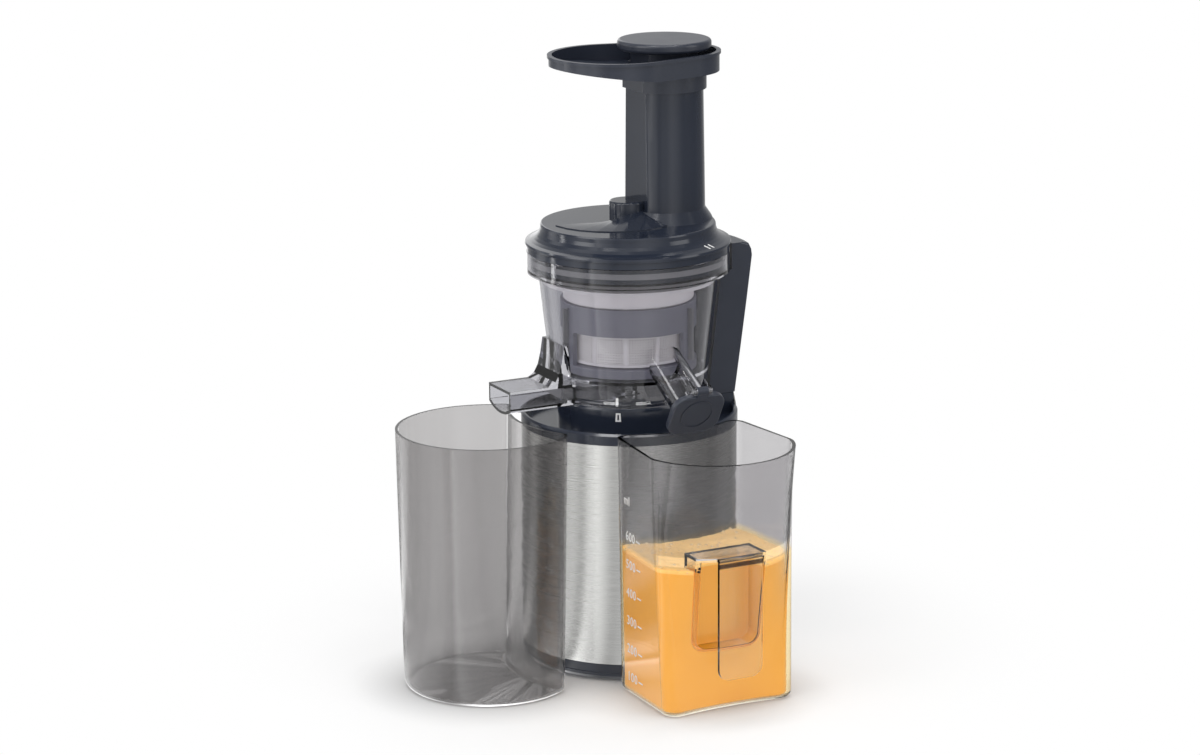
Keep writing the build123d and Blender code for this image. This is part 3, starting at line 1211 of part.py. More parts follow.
def chute_skirt():
    """Sloping foot around the chute, within the disc of the lid."""
    low = LID_TOP - 0.5
    height = CHUTE_SKIRT_RISE + 0.5
    skirt = Pos(0, CHUTE_Y, low + height / 2) * Cone(CHUTE_FOOT_RADIUS + CHUTE_SKIRT, CHUTE_FOOT_RADIUS - 0.3, height)
    return skirt & rod(LID_DISC - RAMP_STEP, low - 1, low + height + 1)


def make_lid():
    """Black lid with its feed chute, hub, ramp and bush for the auger pin."""
    lip = RIM_RADIUS - BOWL_WALL - GAP
    shell = turned([
        (lip, LID_LIP_BOTTOM), (lip, SEAL_LOW), (lip - 1.2, SEAL_LOW), (lip - 1.2, SEAL_TOP), (lip, SEAL_TOP),
        (lip, LID_LOW), (RIM_RADIUS - 0.3, LID_LOW), (RIM_RADIUS - 0.3, LID_LOW + 4.2),
        (LID_FLARE - 0.4, LID_LOW + 4.6), (LID_FLARE, LID_LOW + 6.0), (LID_FLARE - 0.4, LID_LOW + 7.2),
        (LID_FLARE - 3.4, LID_LOW + 8.2), (LID_DISC + 5.2, LID_LOW + 9.6), (LID_DISC + 3.1, LID_LOW + 11.3),
        (LID_DISC + 1.6, LID_LOW + 13.4), (LID_DISC + 0.7, LID_LOW + 16.0), (LID_DISC + 0.5, LID_TOP - 1.2),
        (LID_DISC, LID_TOP - 0.2), (LID_DISC - 0.6, LID_TOP), (0, LID_TOP),
        (0, LID_TOP - LID_WALL), (LID_DISC - 2, LID_TOP - LID_WALL), (LID_DISC - 1.2, LID_LOW + 12.4),
        (LID_DISC + 1.4, LID_LOW + 8.6), (lip - LID_LIP_WALL, LID_LOW + 6), (lip - LID_LIP_WALL, LID_LIP_BOTTOM)])
    hub = fillet(rod(HUB_RADIUS, LID_TOP - LID_WALL, HUB_TOP).edges().sort_by(Axis.Z)[-1], 1.6)
    ramp = loft([ramp_section(step / RAMP_SECTIONS) for step in range(RAMP_SECTIONS + 1)], ruled=True)
    chute = chute_body(LID_TOP - LID_WALL) + chute_skirt()
    bore_radius = CHUTE_TOP_RADIUS - CHUTE_WALL
    bore = prism(d_outline(bore_radius, CHUTE_FLAT + CHUTE_WALL), LID_TOP - LID_WALL - 2, CHUTE_TOP + 1)
    bush = rod(BUSH_TUBE, BUSH_TUBE_LOW, LID_TOP - 1)
    return shell + hub + ramp + chute - bore + bush - rod(AUGER_PIN + RUN, BUSH_TUBE_LOW - 1, AUGER_PIN_TOP + 1)


def make_lid_seal():
    """Soft ring in the groove of the lid."""
    lip = RIM_RADIUS - BOWL_WALL - GAP
    return tube(lip + GAP - FIT, lip - 1.15, SEAL_LOW + 0.05, SEAL_TOP - 0.05)


# ================================================================== tray and pusher
def tray_floor(drop, top):
    """Space above the sloping floor of the tray."""
    far = TRAY_FAR_Y - TRAY_FAR_RADIUS - 1
    near = CHUTE_Y + TRAY_NEAR_RADIUS + 1
    points = [(far, TRAY_FLOOR_FAR - drop), (CHUTE_Y - CHUTE_TOP_RADIUS, TRAY_FLOOR_NEAR - drop),
              (near, TRAY_FLOOR_NEAR - drop), (near, top), (far, top)]
    return side_prism(points, 60)


def make_feed_tray():
    """Loading tray that sits over the chute."""
    body = prism(tray_outline(0), TRAY_FLOOR_NEAR - 5, TRAY_TOP) & tray_floor(0, TRAY_TOP)
    hollow = prism(tray_outline(TRAY_WALL), TRAY_FLOOR_NEAR - 5, TRAY_TOP + 1) & tray_floor(-TRAY_WALL, TRAY_TOP + 1)
    rolled = prism(tray_outline(-1.0), TRAY_TOP - 2.0, TRAY_TOP) - prism(tray_outline(1.0), TRAY_TOP - 3, TRAY_TOP + 1)
    collar_radius = CHUTE_TOP_RADIUS + GAP
    collar_flat = CHUTE_FLAT - GAP
    grip = collar_radius + TRAY_WALL - 0.2
    collar = prism(d_outline(grip, collar_flat - TRAY_WALL + 0.2), TRAY_LOW, TRAY_FLOOR_NEAR + 2)
    socket = prism(d_outline(collar_radius, collar_flat), TRAY_LOW - 1, CHUTE_TOP + GAP)
    bore_radius = CHUTE_TOP_RADIUS - CHUTE_WALL
    bore = prism(d_outline(bore_radius, CHUTE_FLAT + CHUTE_WALL), TRAY_LOW - 1, TRAY_TOP)
    return body - hollow + rolled + collar - socket - bore


PUSHER_RADIUS = CHUTE_TOP_RADIUS - CHUTE_WALL - 0.8
PUSHER_FLAT = CHUTE_FLAT + CHUTE_WALL + 0.8


def make_pusher():
    """Hollow plunger, open at the top, with a stop ring above the tray floor."""
    stem = prism(d_outline(PUSHER_RADIUS, PUSHER_FLAT), PUSHER_BOTTOM, PUSHER_DISC_LOW)
    inside = prism(d_outline(PUSHER_RADIUS - PUSHER_WALL, PUSHER_FLAT + PUSHER_WALL),
                   PUSHER_BOTTOM + 3, PUSHER_DISC_LOW + 1)
    stop_low = TRAY_FLOOR_NEAR + TRAY_WALL + GAP
    stop = prism(d_outline(PUSHER_RADIUS + PUSHER_STOP_WIDTH, PUSHER_FLAT), stop_low, stop_low + PUSHER_STOP_THICK)
    return stem + stop - inside


def make_pusher_cap():
    """Round grip plate that closes the plunger."""
    disc = rod(PUSHER_DISC, PUSHER_DISC_LOW, TOTAL_HEIGHT, 0, CHUTE_Y)
    disc = fillet(disc.edges().filter_by(GeomType.CIRCLE), 2.4)
    spigot = d_outline(PUSHER_RADIUS - PUSHER_WALL - 0.05, PUSHER_FLAT + PUSHER_WALL + 0.05)
    return disc + prism(spigot, PUSHER_DISC_LOW - 4, PUSHER_DISC_LOW + 1)


# ================================================================== containers
def tub_outline(inset, shrink):
    """Pulp container outline: a circle bitten by the round that fits the base, stood a little off it."""
    radius = TUB_RADIUS - inset - shrink
    outline = Pos(0, -TUB_REACH) * Circle(radius) - Circle(CONTAINER_HUG + inset + shrink)
    return Pos(*TUB_PLACE) * fillet(outline.vertices(), max(TUB_CORNER - inset, 1))


def drafted(low_outline, high_outline, low, high):
    """Straight-sided solid between two outlines."""
    return loft([Pos(0, 0, low) * low_outline, Pos(0, 0, high) * high_outline], ruled=True)


def make_pulp_container():
    """Tub for the pulp with a concave wall along the base."""
    outside = drafted(tub_outline(0, TUB_DRAFT), tub_outline(0, 0), 0, TUB_TOP)
    outside = fillet(outside.faces().sort_by(Axis.Z)[0].edges(), CONTAINER_EDGE)
    inside = drafted(tub_outline(TUB_WALL, TUB_DRAFT), tub_outline(TUB_WALL, 0), TUB_WALL, TUB_TOP)
    inside = fillet(inside.faces().sort_by(Axis.Z)[0].edges(), CONTAINER_EDGE - TUB_WALL)
    return outside - inside


def jug_section(height, inset):
    """Jug outline at a height: concave towards the base, two sides and a wide outer wall."""
    share = height / JUG_TOP
    x = JUG_LOW_X + share * (JUG_TOP_X - JUG_LOW_X) - inset
    half = JUG_LOW_HALF + share * (JUG_TOP_HALF - JUG_LOW_HALF) - inset
    reach = JUG_LOW_REACH + share * (JUG_TOP_REACH - JUG_LOW_REACH) - inset
    corner = JUG_LOW_CORNER + share * (JUG_TOP_CORNER - JUG_LOW_CORNER) - inset / 2
    hug = CONTAINER_HUG + (1 - share) * JUG_DRAFT + inset
    corner_half = JUG_CORNER_HALF - inset
    corner_x = math.sqrt(hug ** 2 - corner_half ** 2)
    near = ThreePointArc((corner_x, -corner_half), (hug, 0), (corner_x, corner_half))
    far = ThreePointArc((x, half), (reach, 0), (x, -half))
    upper = Line((corner_x, corner_half), (x, half))
    lower = Line((x, -half), (corner_x, -corner_half))
    outline = make_face(near + upper + far + lower)
    near_corners = outline.vertices().filter_by_position(Axis.X, corner_x - 1, corner_x + 1)
    outline = fillet(near_corners, JUG_INNER_CORNER - inset / 2)
    far_corners = outline.vertices().filter_by_position(Axis.X, x - 0.5, x + 0.5)
    return Pos(0, 0, height) * fillet(far_corners, corner)


EDGE_STEPS = 5


def jug_body(inset, low):
    """Tapering jug body, inset on all its sides, with a rounded lower edge."""
    edge = CONTAINER_EDGE - inset
    sections = []
    for step in range(EDGE_STEPS + 1):
        angle = math.radians(90 * step / EDGE_STEPS)
        height = low + edge * (1 - math.cos(angle))
        sections.append(jug_section(height, inset + edge * (1 - math.sin(angle))))
    sections.append(jug_section(JUG_TOP, inset))
    return loft(sections, ruled=True)


def pocket(grow, outer_x):
    """Rounded slab that forms the finger pocket behind the tab."""
    sides = (POCKET_LEFT - grow, POCKET_RIGHT + grow)
    slab = block((POCKET_BACK - grow, outer_x), sides, (POCKET_LOW - grow, POCKET_TOP + grow))
    return fillet(slab.edges().filter_by(Axis.X).sort_by(Axis.Z)[:2], POCKET_CORNER + grow)


def jug_tab():
    """Hanging tab that serves as the handle."""
    tab = block((TAB_OUT - TAB_THICK, TAB_OUT), (TAB_LEFT, TAB_RIGHT), (TAB_LOW, POCKET_TOP + JUG_WALL))
    return fillet(tab.edges().filter_by(Axis.X).sort_by(Axis.Z)[:2], TAB_CORNER)


def make_juice_jug():
    """Clear jug with a finger pocket under a ledge and a tab handle."""
    jug = jug_body(0, 0) - pocket(0, JUG_TOP_REACH + 5)
    cavity = jug_body(JUG_WALL, JUG_WALL) - pocket(JUG_WALL, JUG_TOP_REACH + 5)
    return jug - cavity + jug_tab()


def make_orange_juice():
    """Juice that stands in the jug."""
    inset = JUG_WALL + JUICE_INSET
    juice = jug_body(inset, inset) - pocket(inset, JUG_TOP_REACH + 5)
    return juice & block((0, 300), (-200, 200), (0, JUICE_TOP))


# ================================================================== export
NODES = {
    "base_pan": make_base_pan,
    "rubber_foot": make_rubber_foot,
    "steel_sleeve": make_steel_sleeve,
    "top_cover": make_top_cover,
    "arm_housing": make_arm_housing,
    "arm_front_cover": make_arm_front_cover,
    "arm_screws": make_arm_screws,
    "interlock_plunger": make_interlock_plunger,
    "interlock_spring": make_interlock_spring,
    "interlock_switch": make_interlock_switch,
    "switch_bezel": make_switch_bezel,
    "power_rocker": make_power_rocker,
    "cord_grommet": make_cord_grommet,
    "control_board": make_control_board,
    "motor_can": make_motor_can,
    "motor_end_cap": make_motor_end_cap,
    "motor_magnets": make_motor_magnets,
    "carbon_brushes": make_carbon_brushes,
    "motor_bearings": make_motor_bearings,
    "armature": make_armature,
    "cooling_fan": make_cooling_fan,
    "motor_pinion": make_motor_pinion,
    "first_gear": make_first_gear,
    "second_gear": make_second_gear,
    "output_gear": make_output_gear,
    "output_shaft": make_output_shaft,
    "output_bearings": make_output_bearings,
    "gearbox_base": make_gearbox_base,
    "gearbox_cover": make_gearbox_cover,
    "gear_shafts": make_gear_shafts,
    "base_screws": make_base_screws,
    "gearbox_screws": make_gearbox_screws,
    "shaft_seal": make_shaft_seal,
    "juice_bowl": make_juice_bowl,
    "bowl_foot_seal": make_bowl_foot_seal,
    "pulp_flap": make_pulp_flap,
    "cap_hinge_pin": make_cap_hinge_pin,
    "spout_cap": make_spout_cap,
    "spout_plug": make_spout_plug,
    "idler_pin": make_idler_pin,
    "idler_gear": make_idler_gear,
    "brush_holder": make_brush_holder,
    "wiper_blades": make_wiper_blades,
    "strainer_frame": make_strainer_frame,
    "strainer_mesh": make_strainer_mesh,
    "auger": make_auger,
    "auger_bush": make_auger_bush,
    "auger_pin": make_auger_pin,
    "lid": make_lid,
    "lid_seal": make_lid_seal,
    "feed_tray": make_feed_tray,
    "pusher": make_pusher,
    "pusher_cap": make_pusher_cap,
    "pulp_container": make_pulp_container,
    "juice_jug": make_juice_jug,
    "orange_juice": make_orange_juice,
}

for name, make in NODES.items():
    export_step(make(), f"parts/{name}.step")
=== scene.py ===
import math
import random

import bpy
from mathutils import Matrix, Vector


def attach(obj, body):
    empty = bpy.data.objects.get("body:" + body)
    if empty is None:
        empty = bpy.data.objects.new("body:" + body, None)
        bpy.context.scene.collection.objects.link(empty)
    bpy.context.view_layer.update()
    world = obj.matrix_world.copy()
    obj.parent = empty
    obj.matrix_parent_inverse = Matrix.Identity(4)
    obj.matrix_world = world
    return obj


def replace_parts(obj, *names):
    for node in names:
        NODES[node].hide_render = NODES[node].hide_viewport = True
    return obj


# Cold press juicer on a pale studio floor. Metres, Z up, origin on the table under the drive axis.
# +X is the juice side, -Y the pulp side, +Y the arm.

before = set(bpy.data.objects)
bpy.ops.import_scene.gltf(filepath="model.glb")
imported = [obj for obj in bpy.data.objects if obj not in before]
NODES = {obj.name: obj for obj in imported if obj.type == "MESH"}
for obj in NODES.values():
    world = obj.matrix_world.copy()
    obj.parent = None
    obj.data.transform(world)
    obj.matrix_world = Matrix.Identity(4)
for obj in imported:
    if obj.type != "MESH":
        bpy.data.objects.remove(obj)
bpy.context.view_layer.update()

# ------------------------------------------------------------------ camera
LENS = 105.3
SENSOR_WIDTH = 36.0
FAR_CLIP = 30.0
CAMERA_DISTANCE = 2.380
CAMERA_HEIGHT = 0.795
CAMERA_AZIMUTH = math.radians(62.5)
CAMERA_PITCH = math.radians(14.07)
CAMERA_YAW = math.radians(-0.484)
CAMERA_ROLL = math.radians(0.46)


def turned_to_row(along, depth, height):
    """Vector from the camera's ground frame (to the right, away, up) to the row frame."""
    sine, cosine = math.sin(CAMERA_AZIMUTH), math.cos(CAMERA_AZIMUTH)
    return Vector((along * cosine - depth * sine, along * sine + depth * cosine, height))


def add_camera():
    """Camera with a long lens, slightly turned and rolled."""
    camera = bpy.data.objects.new("camera", bpy.data.cameras.new("camera"))
    bpy.context.scene.collection.objects.link(camera)
    camera.data.lens = LENS
    camera.data.sensor_width = SENSOR_WIDTH
    camera.data.clip_end = FAR_CLIP
    yaw_c, yaw_s = math.cos(CAMERA_YAW), math.sin(CAMERA_YAW)
    pitch_c, pitch_s = math.cos(CAMERA_PITCH), math.sin(CAMERA_PITCH)
    roll_c, roll_s = math.cos(CAMERA_ROLL), math.sin(CAMERA_ROLL)
    level = turned_to_row(yaw_c, -yaw_s, 0)
    forward = turned_to_row(yaw_s * pitch_c, yaw_c * pitch_c, -pitch_s)
    upward = turned_to_row(yaw_s * pitch_s, yaw_c * pitch_s, pitch_c)
    right = level * roll_c - upward * roll_s
    top = level * roll_s + upward * roll_c
    place = turned_to_row(0, -CAMERA_DISTANCE, CAMERA_HEIGHT)
    camera.matrix_world = Matrix((
        (right.x, top.x, -forward.x, place.x),
        (right.y, top.y, -forward.y, place.y),
        (right.z, top.z, -forward.z, place.z),
        (0, 0, 0, 1)))
    bpy.context.scene.camera = camera


# ------------------------------------------------------------------ node helpers
FINISHES = {}


def new_material(name):
    """Node tree and output of a new material, which is kept in FINISHES under its name."""
    material = bpy.data.materials.new(name)
    FINISHES[name] = material
    material.use_nodes = True
    tree = material.node_tree
    tree.nodes.clear()
    output = tree.nodes.new("ShaderNodeOutputMaterial")
    return tree, output


def node(tree, kind, inputs=None, **settings):
    """Shader node with settings, and with inputs set to values or linked to sockets."""
    made = tree.nodes.new(kind)
    for key, value in settings.items():
        setattr(made, key, value)
    for key, value in (inputs or {}).items():
        if isinstance(value, bpy.types.NodeSocket):
            tree.links.new(value, made.inputs[key])
        else:
            made.inputs[key].default_value = value
    return made


def math_node(tree, operation, first, second=0.0, third=0.0):
    """Output of a Math node."""
    made = tree.nodes.new("ShaderNodeMath")
    made.operation = operation
    for place, value in enumerate((first, second, third)):
        if isinstance(value, bpy.types.NodeSocket):
            tree.links.new(value, made.inputs[place])
        else:
            made.inputs[place].default_value = value
    return made.outputs[0]


def group(name, inputs, outputs):
    """New node group with its named sockets, and the nodes where it is entered and left."""
    tree = bpy.data.node_groups.new(name, "ShaderNodeTree")
    for label, kind, value in inputs:
        socket = tree.interface.new_socket(label, in_out="INPUT", socket_type=kind)
        socket.default_value = value
    for label, kind in outputs:
        tree.interface.new_socket(label, in_out="OUTPUT", socket_type=kind)
    return tree, tree.nodes.new("NodeGroupInput"), tree.nodes.new("NodeGroupOutput")


def use_group(tree, name, **inputs):
    """Instance of a node group with its inputs set."""
    made = tree.nodes.new("ShaderNodeGroup")
    made.node_tree = bpy.data.node_groups[name]
    for key, value in inputs.items():
        label = key.replace("_", " ")
        if isinstance(value, bpy.types.NodeSocket):
            tree.links.new(value, made.inputs[label])
        else:
            made.inputs[label].default_value = value
    return made


# ------------------------------------------------------------------ shared effects
BROAD_SCALE = 22.0
ROUGH_SWING = 0.16


def build_moulded_group():
    """Fine grain of moulded plastic: a height, a varied roughness and a varied colour."""
    tree, enter, leave = group(
        "moulded",
        [("Colour", "NodeSocketColor", (0.5, 0.5, 0.5, 1)), ("Roughness", "NodeSocketFloat", 0.4),
         ("Grain Scale", "NodeSocketFloat", 900.0), ("Shade", "NodeSocketFloat", 0.08)],
        [("Colour", "NodeSocketColor"), ("Roughness", "NodeSocketFloat"), ("Height", "NodeSocketFloat")])
    place = node(tree, "ShaderNodeTexCoord")
    fine = node(tree, "ShaderNodeTexNoise", {
        "Vector": place.outputs["Object"], "Scale": enter.outputs["Grain Scale"],
        "Detail": 2.0, "Roughness": 0.6})
    broad = node(tree, "ShaderNodeTexNoise", {
        "Vector": place.outputs["Object"], "Scale": BROAD_SCALE, "Detail": 3.0})
    tree.links.new(fine.outputs["Fac"], leave.inputs["Height"])
    swing = math_node(tree, "SUBTRACT", broad.outputs["Fac"], 0.5)
    rough_swing = math_node(tree, "MULTIPLY", swing, ROUGH_SWING)
    tree.links.new(math_node(tree, "ADD", enter.outputs["Roughness"], rough_swing), leave.inputs["Roughness"])
    shade_swing = math_node(tree, "MULTIPLY", swing, enter.outputs["Shade"])
    shade = math_node(tree, "MULTIPLY_ADD", shade_swing, 2.0, 1.0)
    tint = node(tree, "ShaderNodeVectorMath", {0: enter.outputs["Colour"]}, operation="SCALE")
    tree.links.new(shade, tint.inputs["Scale"])
    tree.links.new(tint.outputs[0], leave.inputs["Colour"])


LINE_STRETCH = (0.012, 0.012, 1.0)
BAND_SCALE = 420.0
BAND_SHARE = 0.6
BRUSHED_ROUGH_SWING = 0.22
BRUSHED_SHADE_SWING = 0.12


def build_brushed_group():
    """Fine lines left by brushing, at constant height around the axis."""
    tree, enter, leave = group(
        "brushed",
        [("Colour", "NodeSocketColor", (0.6, 0.6, 0.6, 1)), ("Roughness", "NodeSocketFloat", 0.3),
         ("Line Scale", "NodeSocketFloat", 5200.0)],
        [("Colour", "NodeSocketColor"), ("Roughness", "NodeSocketFloat"), ("Height", "NodeSocketFloat")])
    place = node(tree, "ShaderNodeTexCoord")
    stretch = node(tree, "ShaderNodeVectorMath", {0: place.outputs["Object"], 1: LINE_STRETCH},
                   operation="MULTIPLY")
    lines = node(tree, "ShaderNodeTexNoise", {
        "Vector": stretch.outputs[0], "Scale": enter.outputs["Line Scale"], "Detail": 3.0, "Roughness": 0.7})
    wide = node(tree, "ShaderNodeTexNoise", {
        "Vector": stretch.outputs[0], "Scale": BAND_SCALE, "Detail": 2.0})
    swing = math_node(tree, "SUBTRACT", lines.outputs["Fac"], 0.5)
    wide_swing = math_node(tree, "SUBTRACT", wide.outputs["Fac"], 0.5)
    both = math_node(tree, "MULTIPLY_ADD", wide_swing, BAND_SHARE, swing)
    rough = math_node(tree, "MULTIPLY_ADD", both, BRUSHED_ROUGH_SWING, enter.outputs["Roughness"])
    tree.links.new(rough, leave.inputs["Roughness"])
    tint = node(tree, "ShaderNodeVectorMath", {0: enter.outputs["Colour"]}, operation="SCALE")
    tree.links.new(math_node(tree, "MULTIPLY_ADD", both, BRUSHED_SHADE_SWING, 1.0), tint.inputs["Scale"])
    tree.links.new(tint.outputs[0], leave.inputs["Colour"])
    tree.links.new(lines.outputs["Fac"], leave.inputs["Height"])


# ------------------------------------------------------------------ materials
GRAIN_DEPTH = 0.0004
LINE_DEPTH = 0.0002


def finish_with(tree, output, shader):
    """Connects a shader to the material output."""
    tree.links.new(shader.outputs[0], output.inputs["Surface"])


def seen_ray(tree, path):
    """1 for a ray from the camera, straight or through clear plastic."""
    return math_node(tree, "MAXIMUM", path.outputs["Is Camera Ray"], path.outputs["Is Transmission Ray"])


def mirror_ray(tree, path):
    """1 for a ray off a polished face, and 0 for one that went through clear plastic."""
    glossy = path.outputs["Is Glossy Ray"]
    through = math_node(tree, "MULTIPLY", glossy, path.outputs["Is Transmission Ray"])
    return math_node(tree, "SUBTRACT", glossy, through)


def behind_clear_wall(tree, path):
    """1 for a ray off a polished face that has already gone straight through a clear wall."""
    passed = math_node(tree, "GREATER_THAN", path.outputs["Transparent Depth"], 0.5)
    return math_node(tree, "MULTIPLY", mirror_ray(tree, path), passed)


def unmirrored(tree, shader):
    """Shader of something that polished faces around it don't mirror."""
    path = node(tree, "ShaderNodeLightPath")
    nothing = node(tree, "ShaderNodeBsdfTransparent")
    mix = node(tree, "ShaderNodeMixShader", {0: mirror_ray(tree, path)})
    tree.links.new(shader.outputs[0], mix.inputs[1])
    tree.links.new(nothing.outputs[0], mix.inputs[2])
    return mix


def moulded(name, colour, roughness, grain_scale=900.0, grain=0.02, shade=0.08, glow=None, mirrored=True,
            **constants):
    """Moulded plastic, rubber or similar with a fine grain and, where a glow is given, a painted glow:
    emission that brightens the part as light would.
    """
    tree, output = new_material(name)
    effect = use_group(tree, "moulded", Colour=(*colour, 1), Roughness=roughness, Grain_Scale=grain_scale,
                       Shade=shade)
    bump = node(tree, "ShaderNodeBump", {
        "Height": effect.outputs["Height"], "Strength": grain, "Distance": GRAIN_DEPTH})
    shader = node(tree, "ShaderNodeBsdfPrincipled", {
        "Base Color": effect.outputs["Colour"], "Roughness": effect.outputs["Roughness"],
        "Normal": bump.outputs[0], **constants})
    # Painted light: the glow is emission that stands in for light the part doesn't get.
    if glow:
        shader.inputs["Emission Color"].default_value = (*glow, 1)
        shader.inputs["Emission Strength"].default_value = 1.0
    finish_with(tree, output, shader if mirrored else unmirrored(tree, shader))


def brushed(name, colour, roughness, line_scale=5200.0, relief=0.06):
    """Brushed or turned metal."""
    tree, output = new_material(name)
    effect = use_group(tree, "brushed", Colour=(*colour, 1), Roughness=roughness, Line_Scale=line_scale)
    bump = node(tree, "ShaderNodeBump", {
        "Height": effect.outputs["Height"], "Strength": relief, "Distance": LINE_DEPTH})
    shader = node(tree, "ShaderNodeBsdfPrincipled", {
        "Base Color": effect.outputs["Colour"], "Roughness": effect.outputs["Roughness"],
        "Normal": bump.outputs[0], "Metallic": 1.0})
    finish_with(tree, output, shader)


def mixed(tree, share, first, second):
    """Colour between two colours, each a value or a socket."""
    mix = node(tree, "ShaderNodeMix", {"Factor": share}, data_type="RGBA")
    for place, colour in ((6, first), (7, second)):
        if isinstance(colour, bpy.types.NodeSocket):
            tree.links.new(colour, mix.inputs[place])
        else:
            mix.inputs[place].default_value = (*colour, 1)
    return mix.outputs[2]


def between(tree, value, low, high):
    """1 where a value lies between two limits, else 0."""
    above = math_node(tree, "GREATER_THAN", value, low)
    return math_node(tree, "MULTIPLY", above, math_node(tree, "LESS_THAN", value, high))


# Places on the jug where its tint changes, in metres, and the tints.
JUICE_LEVEL = (0.1030, 0.1070)
JUICE_BACKED = (1.0, 0.83, 0.50)
TAB_FACE = 0.1615
TAB_TINT = (0.93, 0.97, 1.0)
TAB_TOP_EDGES = ((0.1055, 0.1085), (0.1096, 0.1125))
TAB_TOP_SPAN = (-0.0195, 0.0145)
# Painted shade: dark bands on top of the tab stand in for refraction in the wall.
TAB_TOP_PAINTED_SHADE = (0.10, 0.10, 0.125)
ROOF_HEIGHT = (0.1060, 0.1130)
ROOF_BACK = 0.1370
# Painted light: the pocket roof is made paler than the rest of the wall.
ROOF_PAINTED_LIGHT = (0.96, 0.95, 0.94)


def jug_tint(tree, colour):
    """Tint of the jug: orange where juice backs it, pale on the tab, painted light on the pocket roof, and
    painted shade in two bands on top of the tab.
    """
    place = node(tree, "ShaderNodeTexCoord")
    parts = node(tree, "ShaderNodeSeparateXYZ", {"Vector": place.outputs["Object"]})
    height = parts.outputs["Z"]
    level = node(tree, "ShaderNodeMapRange", {
        "Value": height, "From Min": JUICE_LEVEL[0], "From Max": JUICE_LEVEL[1]})
    wall = mixed(tree, level.outputs["Result"], JUICE_BACKED, colour)
    roof = math_node(tree, "MULTIPLY", between(tree, height, *ROOF_HEIGHT),
                     between(tree, parts.outputs["X"], ROOF_BACK, TAB_FACE))
    wall = mixed(tree, roof, wall, ROOF_PAINTED_LIGHT)
    outside = math_node(tree, "GREATER_THAN", parts.outputs["X"], TAB_FACE)
    below_top = math_node(tree, "LESS_THAN", height, TAB_TOP_EDGES[1][1])
    on_tab = math_node(tree, "MULTIPLY", outside, below_top)
    dark = math_node(tree, "ADD", *[between(tree, height, *edge) for edge in TAB_TOP_EDGES])
    dark = math_node(tree, "MULTIPLY", dark, between(tree, parts.outputs["Y"], *TAB_TOP_SPAN))
    tab = mixed(tree, dark, TAB_TINT, TAB_TOP_PAINTED_SHADE)
    return mixed(tree, on_tab, wall, tab)


CLEAR_IOR = 1.46
CLEAR_RIPPLE_SCALE = 160.0
CLEAR_RIPPLE = 0.004
CLEAR_SHADE = 0.03
MIRRORED_WALL = (0.90, 0.90, 0.90, 1)


def clear(name, colour, roughness, shadow, tint=None):
    """Tinted clear plastic with one colour or a tint that changes with the place.

    Soft light, shadows and what polished faces mirror go straight through it.
    """
    tree, output = new_material(name)
    effect = use_group(tree, "moulded", Colour=(*colour, 1), Roughness=roughness,
                       Grain_Scale=CLEAR_RIPPLE_SCALE, Shade=CLEAR_SHADE)
    if tint:
        tree.links.new(tint(tree, colour), effect.inputs["Colour"])
    bump = node(tree, "ShaderNodeBump", {
        "Height": effect.outputs["Height"], "Strength": CLEAR_RIPPLE, "Distance": GRAIN_DEPTH})
    shader = node(tree, "ShaderNodeBsdfPrincipled", {
        "Base Color": effect.outputs["Colour"], "Roughness": effect.outputs["Roughness"],
        "Normal": bump.outputs[0], "Transmission Weight": 1.0, "IOR": CLEAR_IOR})
    see_through = node(tree, "ShaderNodeBsdfTransparent", {"Color": (*shadow, 1)})
    path = node(tree, "ShaderNodeLightPath")
    soft = math_node(tree, "MAXIMUM", path.outputs["Is Shadow Ray"], path.outputs["Is Diffuse Ray"])
    mirrored = node(tree, "ShaderNodeBsdfTransparent", {"Color": MIRRORED_WALL})
    side = node(tree, "ShaderNodeNewGeometry")
    front = math_node(tree, "SUBTRACT", 1.0, side.outputs["Backfacing"])
    outside = math_node(tree, "MULTIPLY", mirror_ray(tree, path), front)
    straight = math_node(tree, "MAXIMUM", outside, behind_clear_wall(tree, path))
    direct = node(tree, "ShaderNodeMixShader", {0: straight})
    tree.links.new(shader.outputs[0], direct.inputs[1])
    tree.links.new(mirrored.outputs[0], direct.inputs[2])
    mix = node(tree, "ShaderNodeMixShader", {0: soft})
    tree.links.new(direct.outputs[0], mix.inputs[1])
    tree.links.new(see_through.outputs[0], mix.inputs[2])
    finish_with(tree, output, mix)


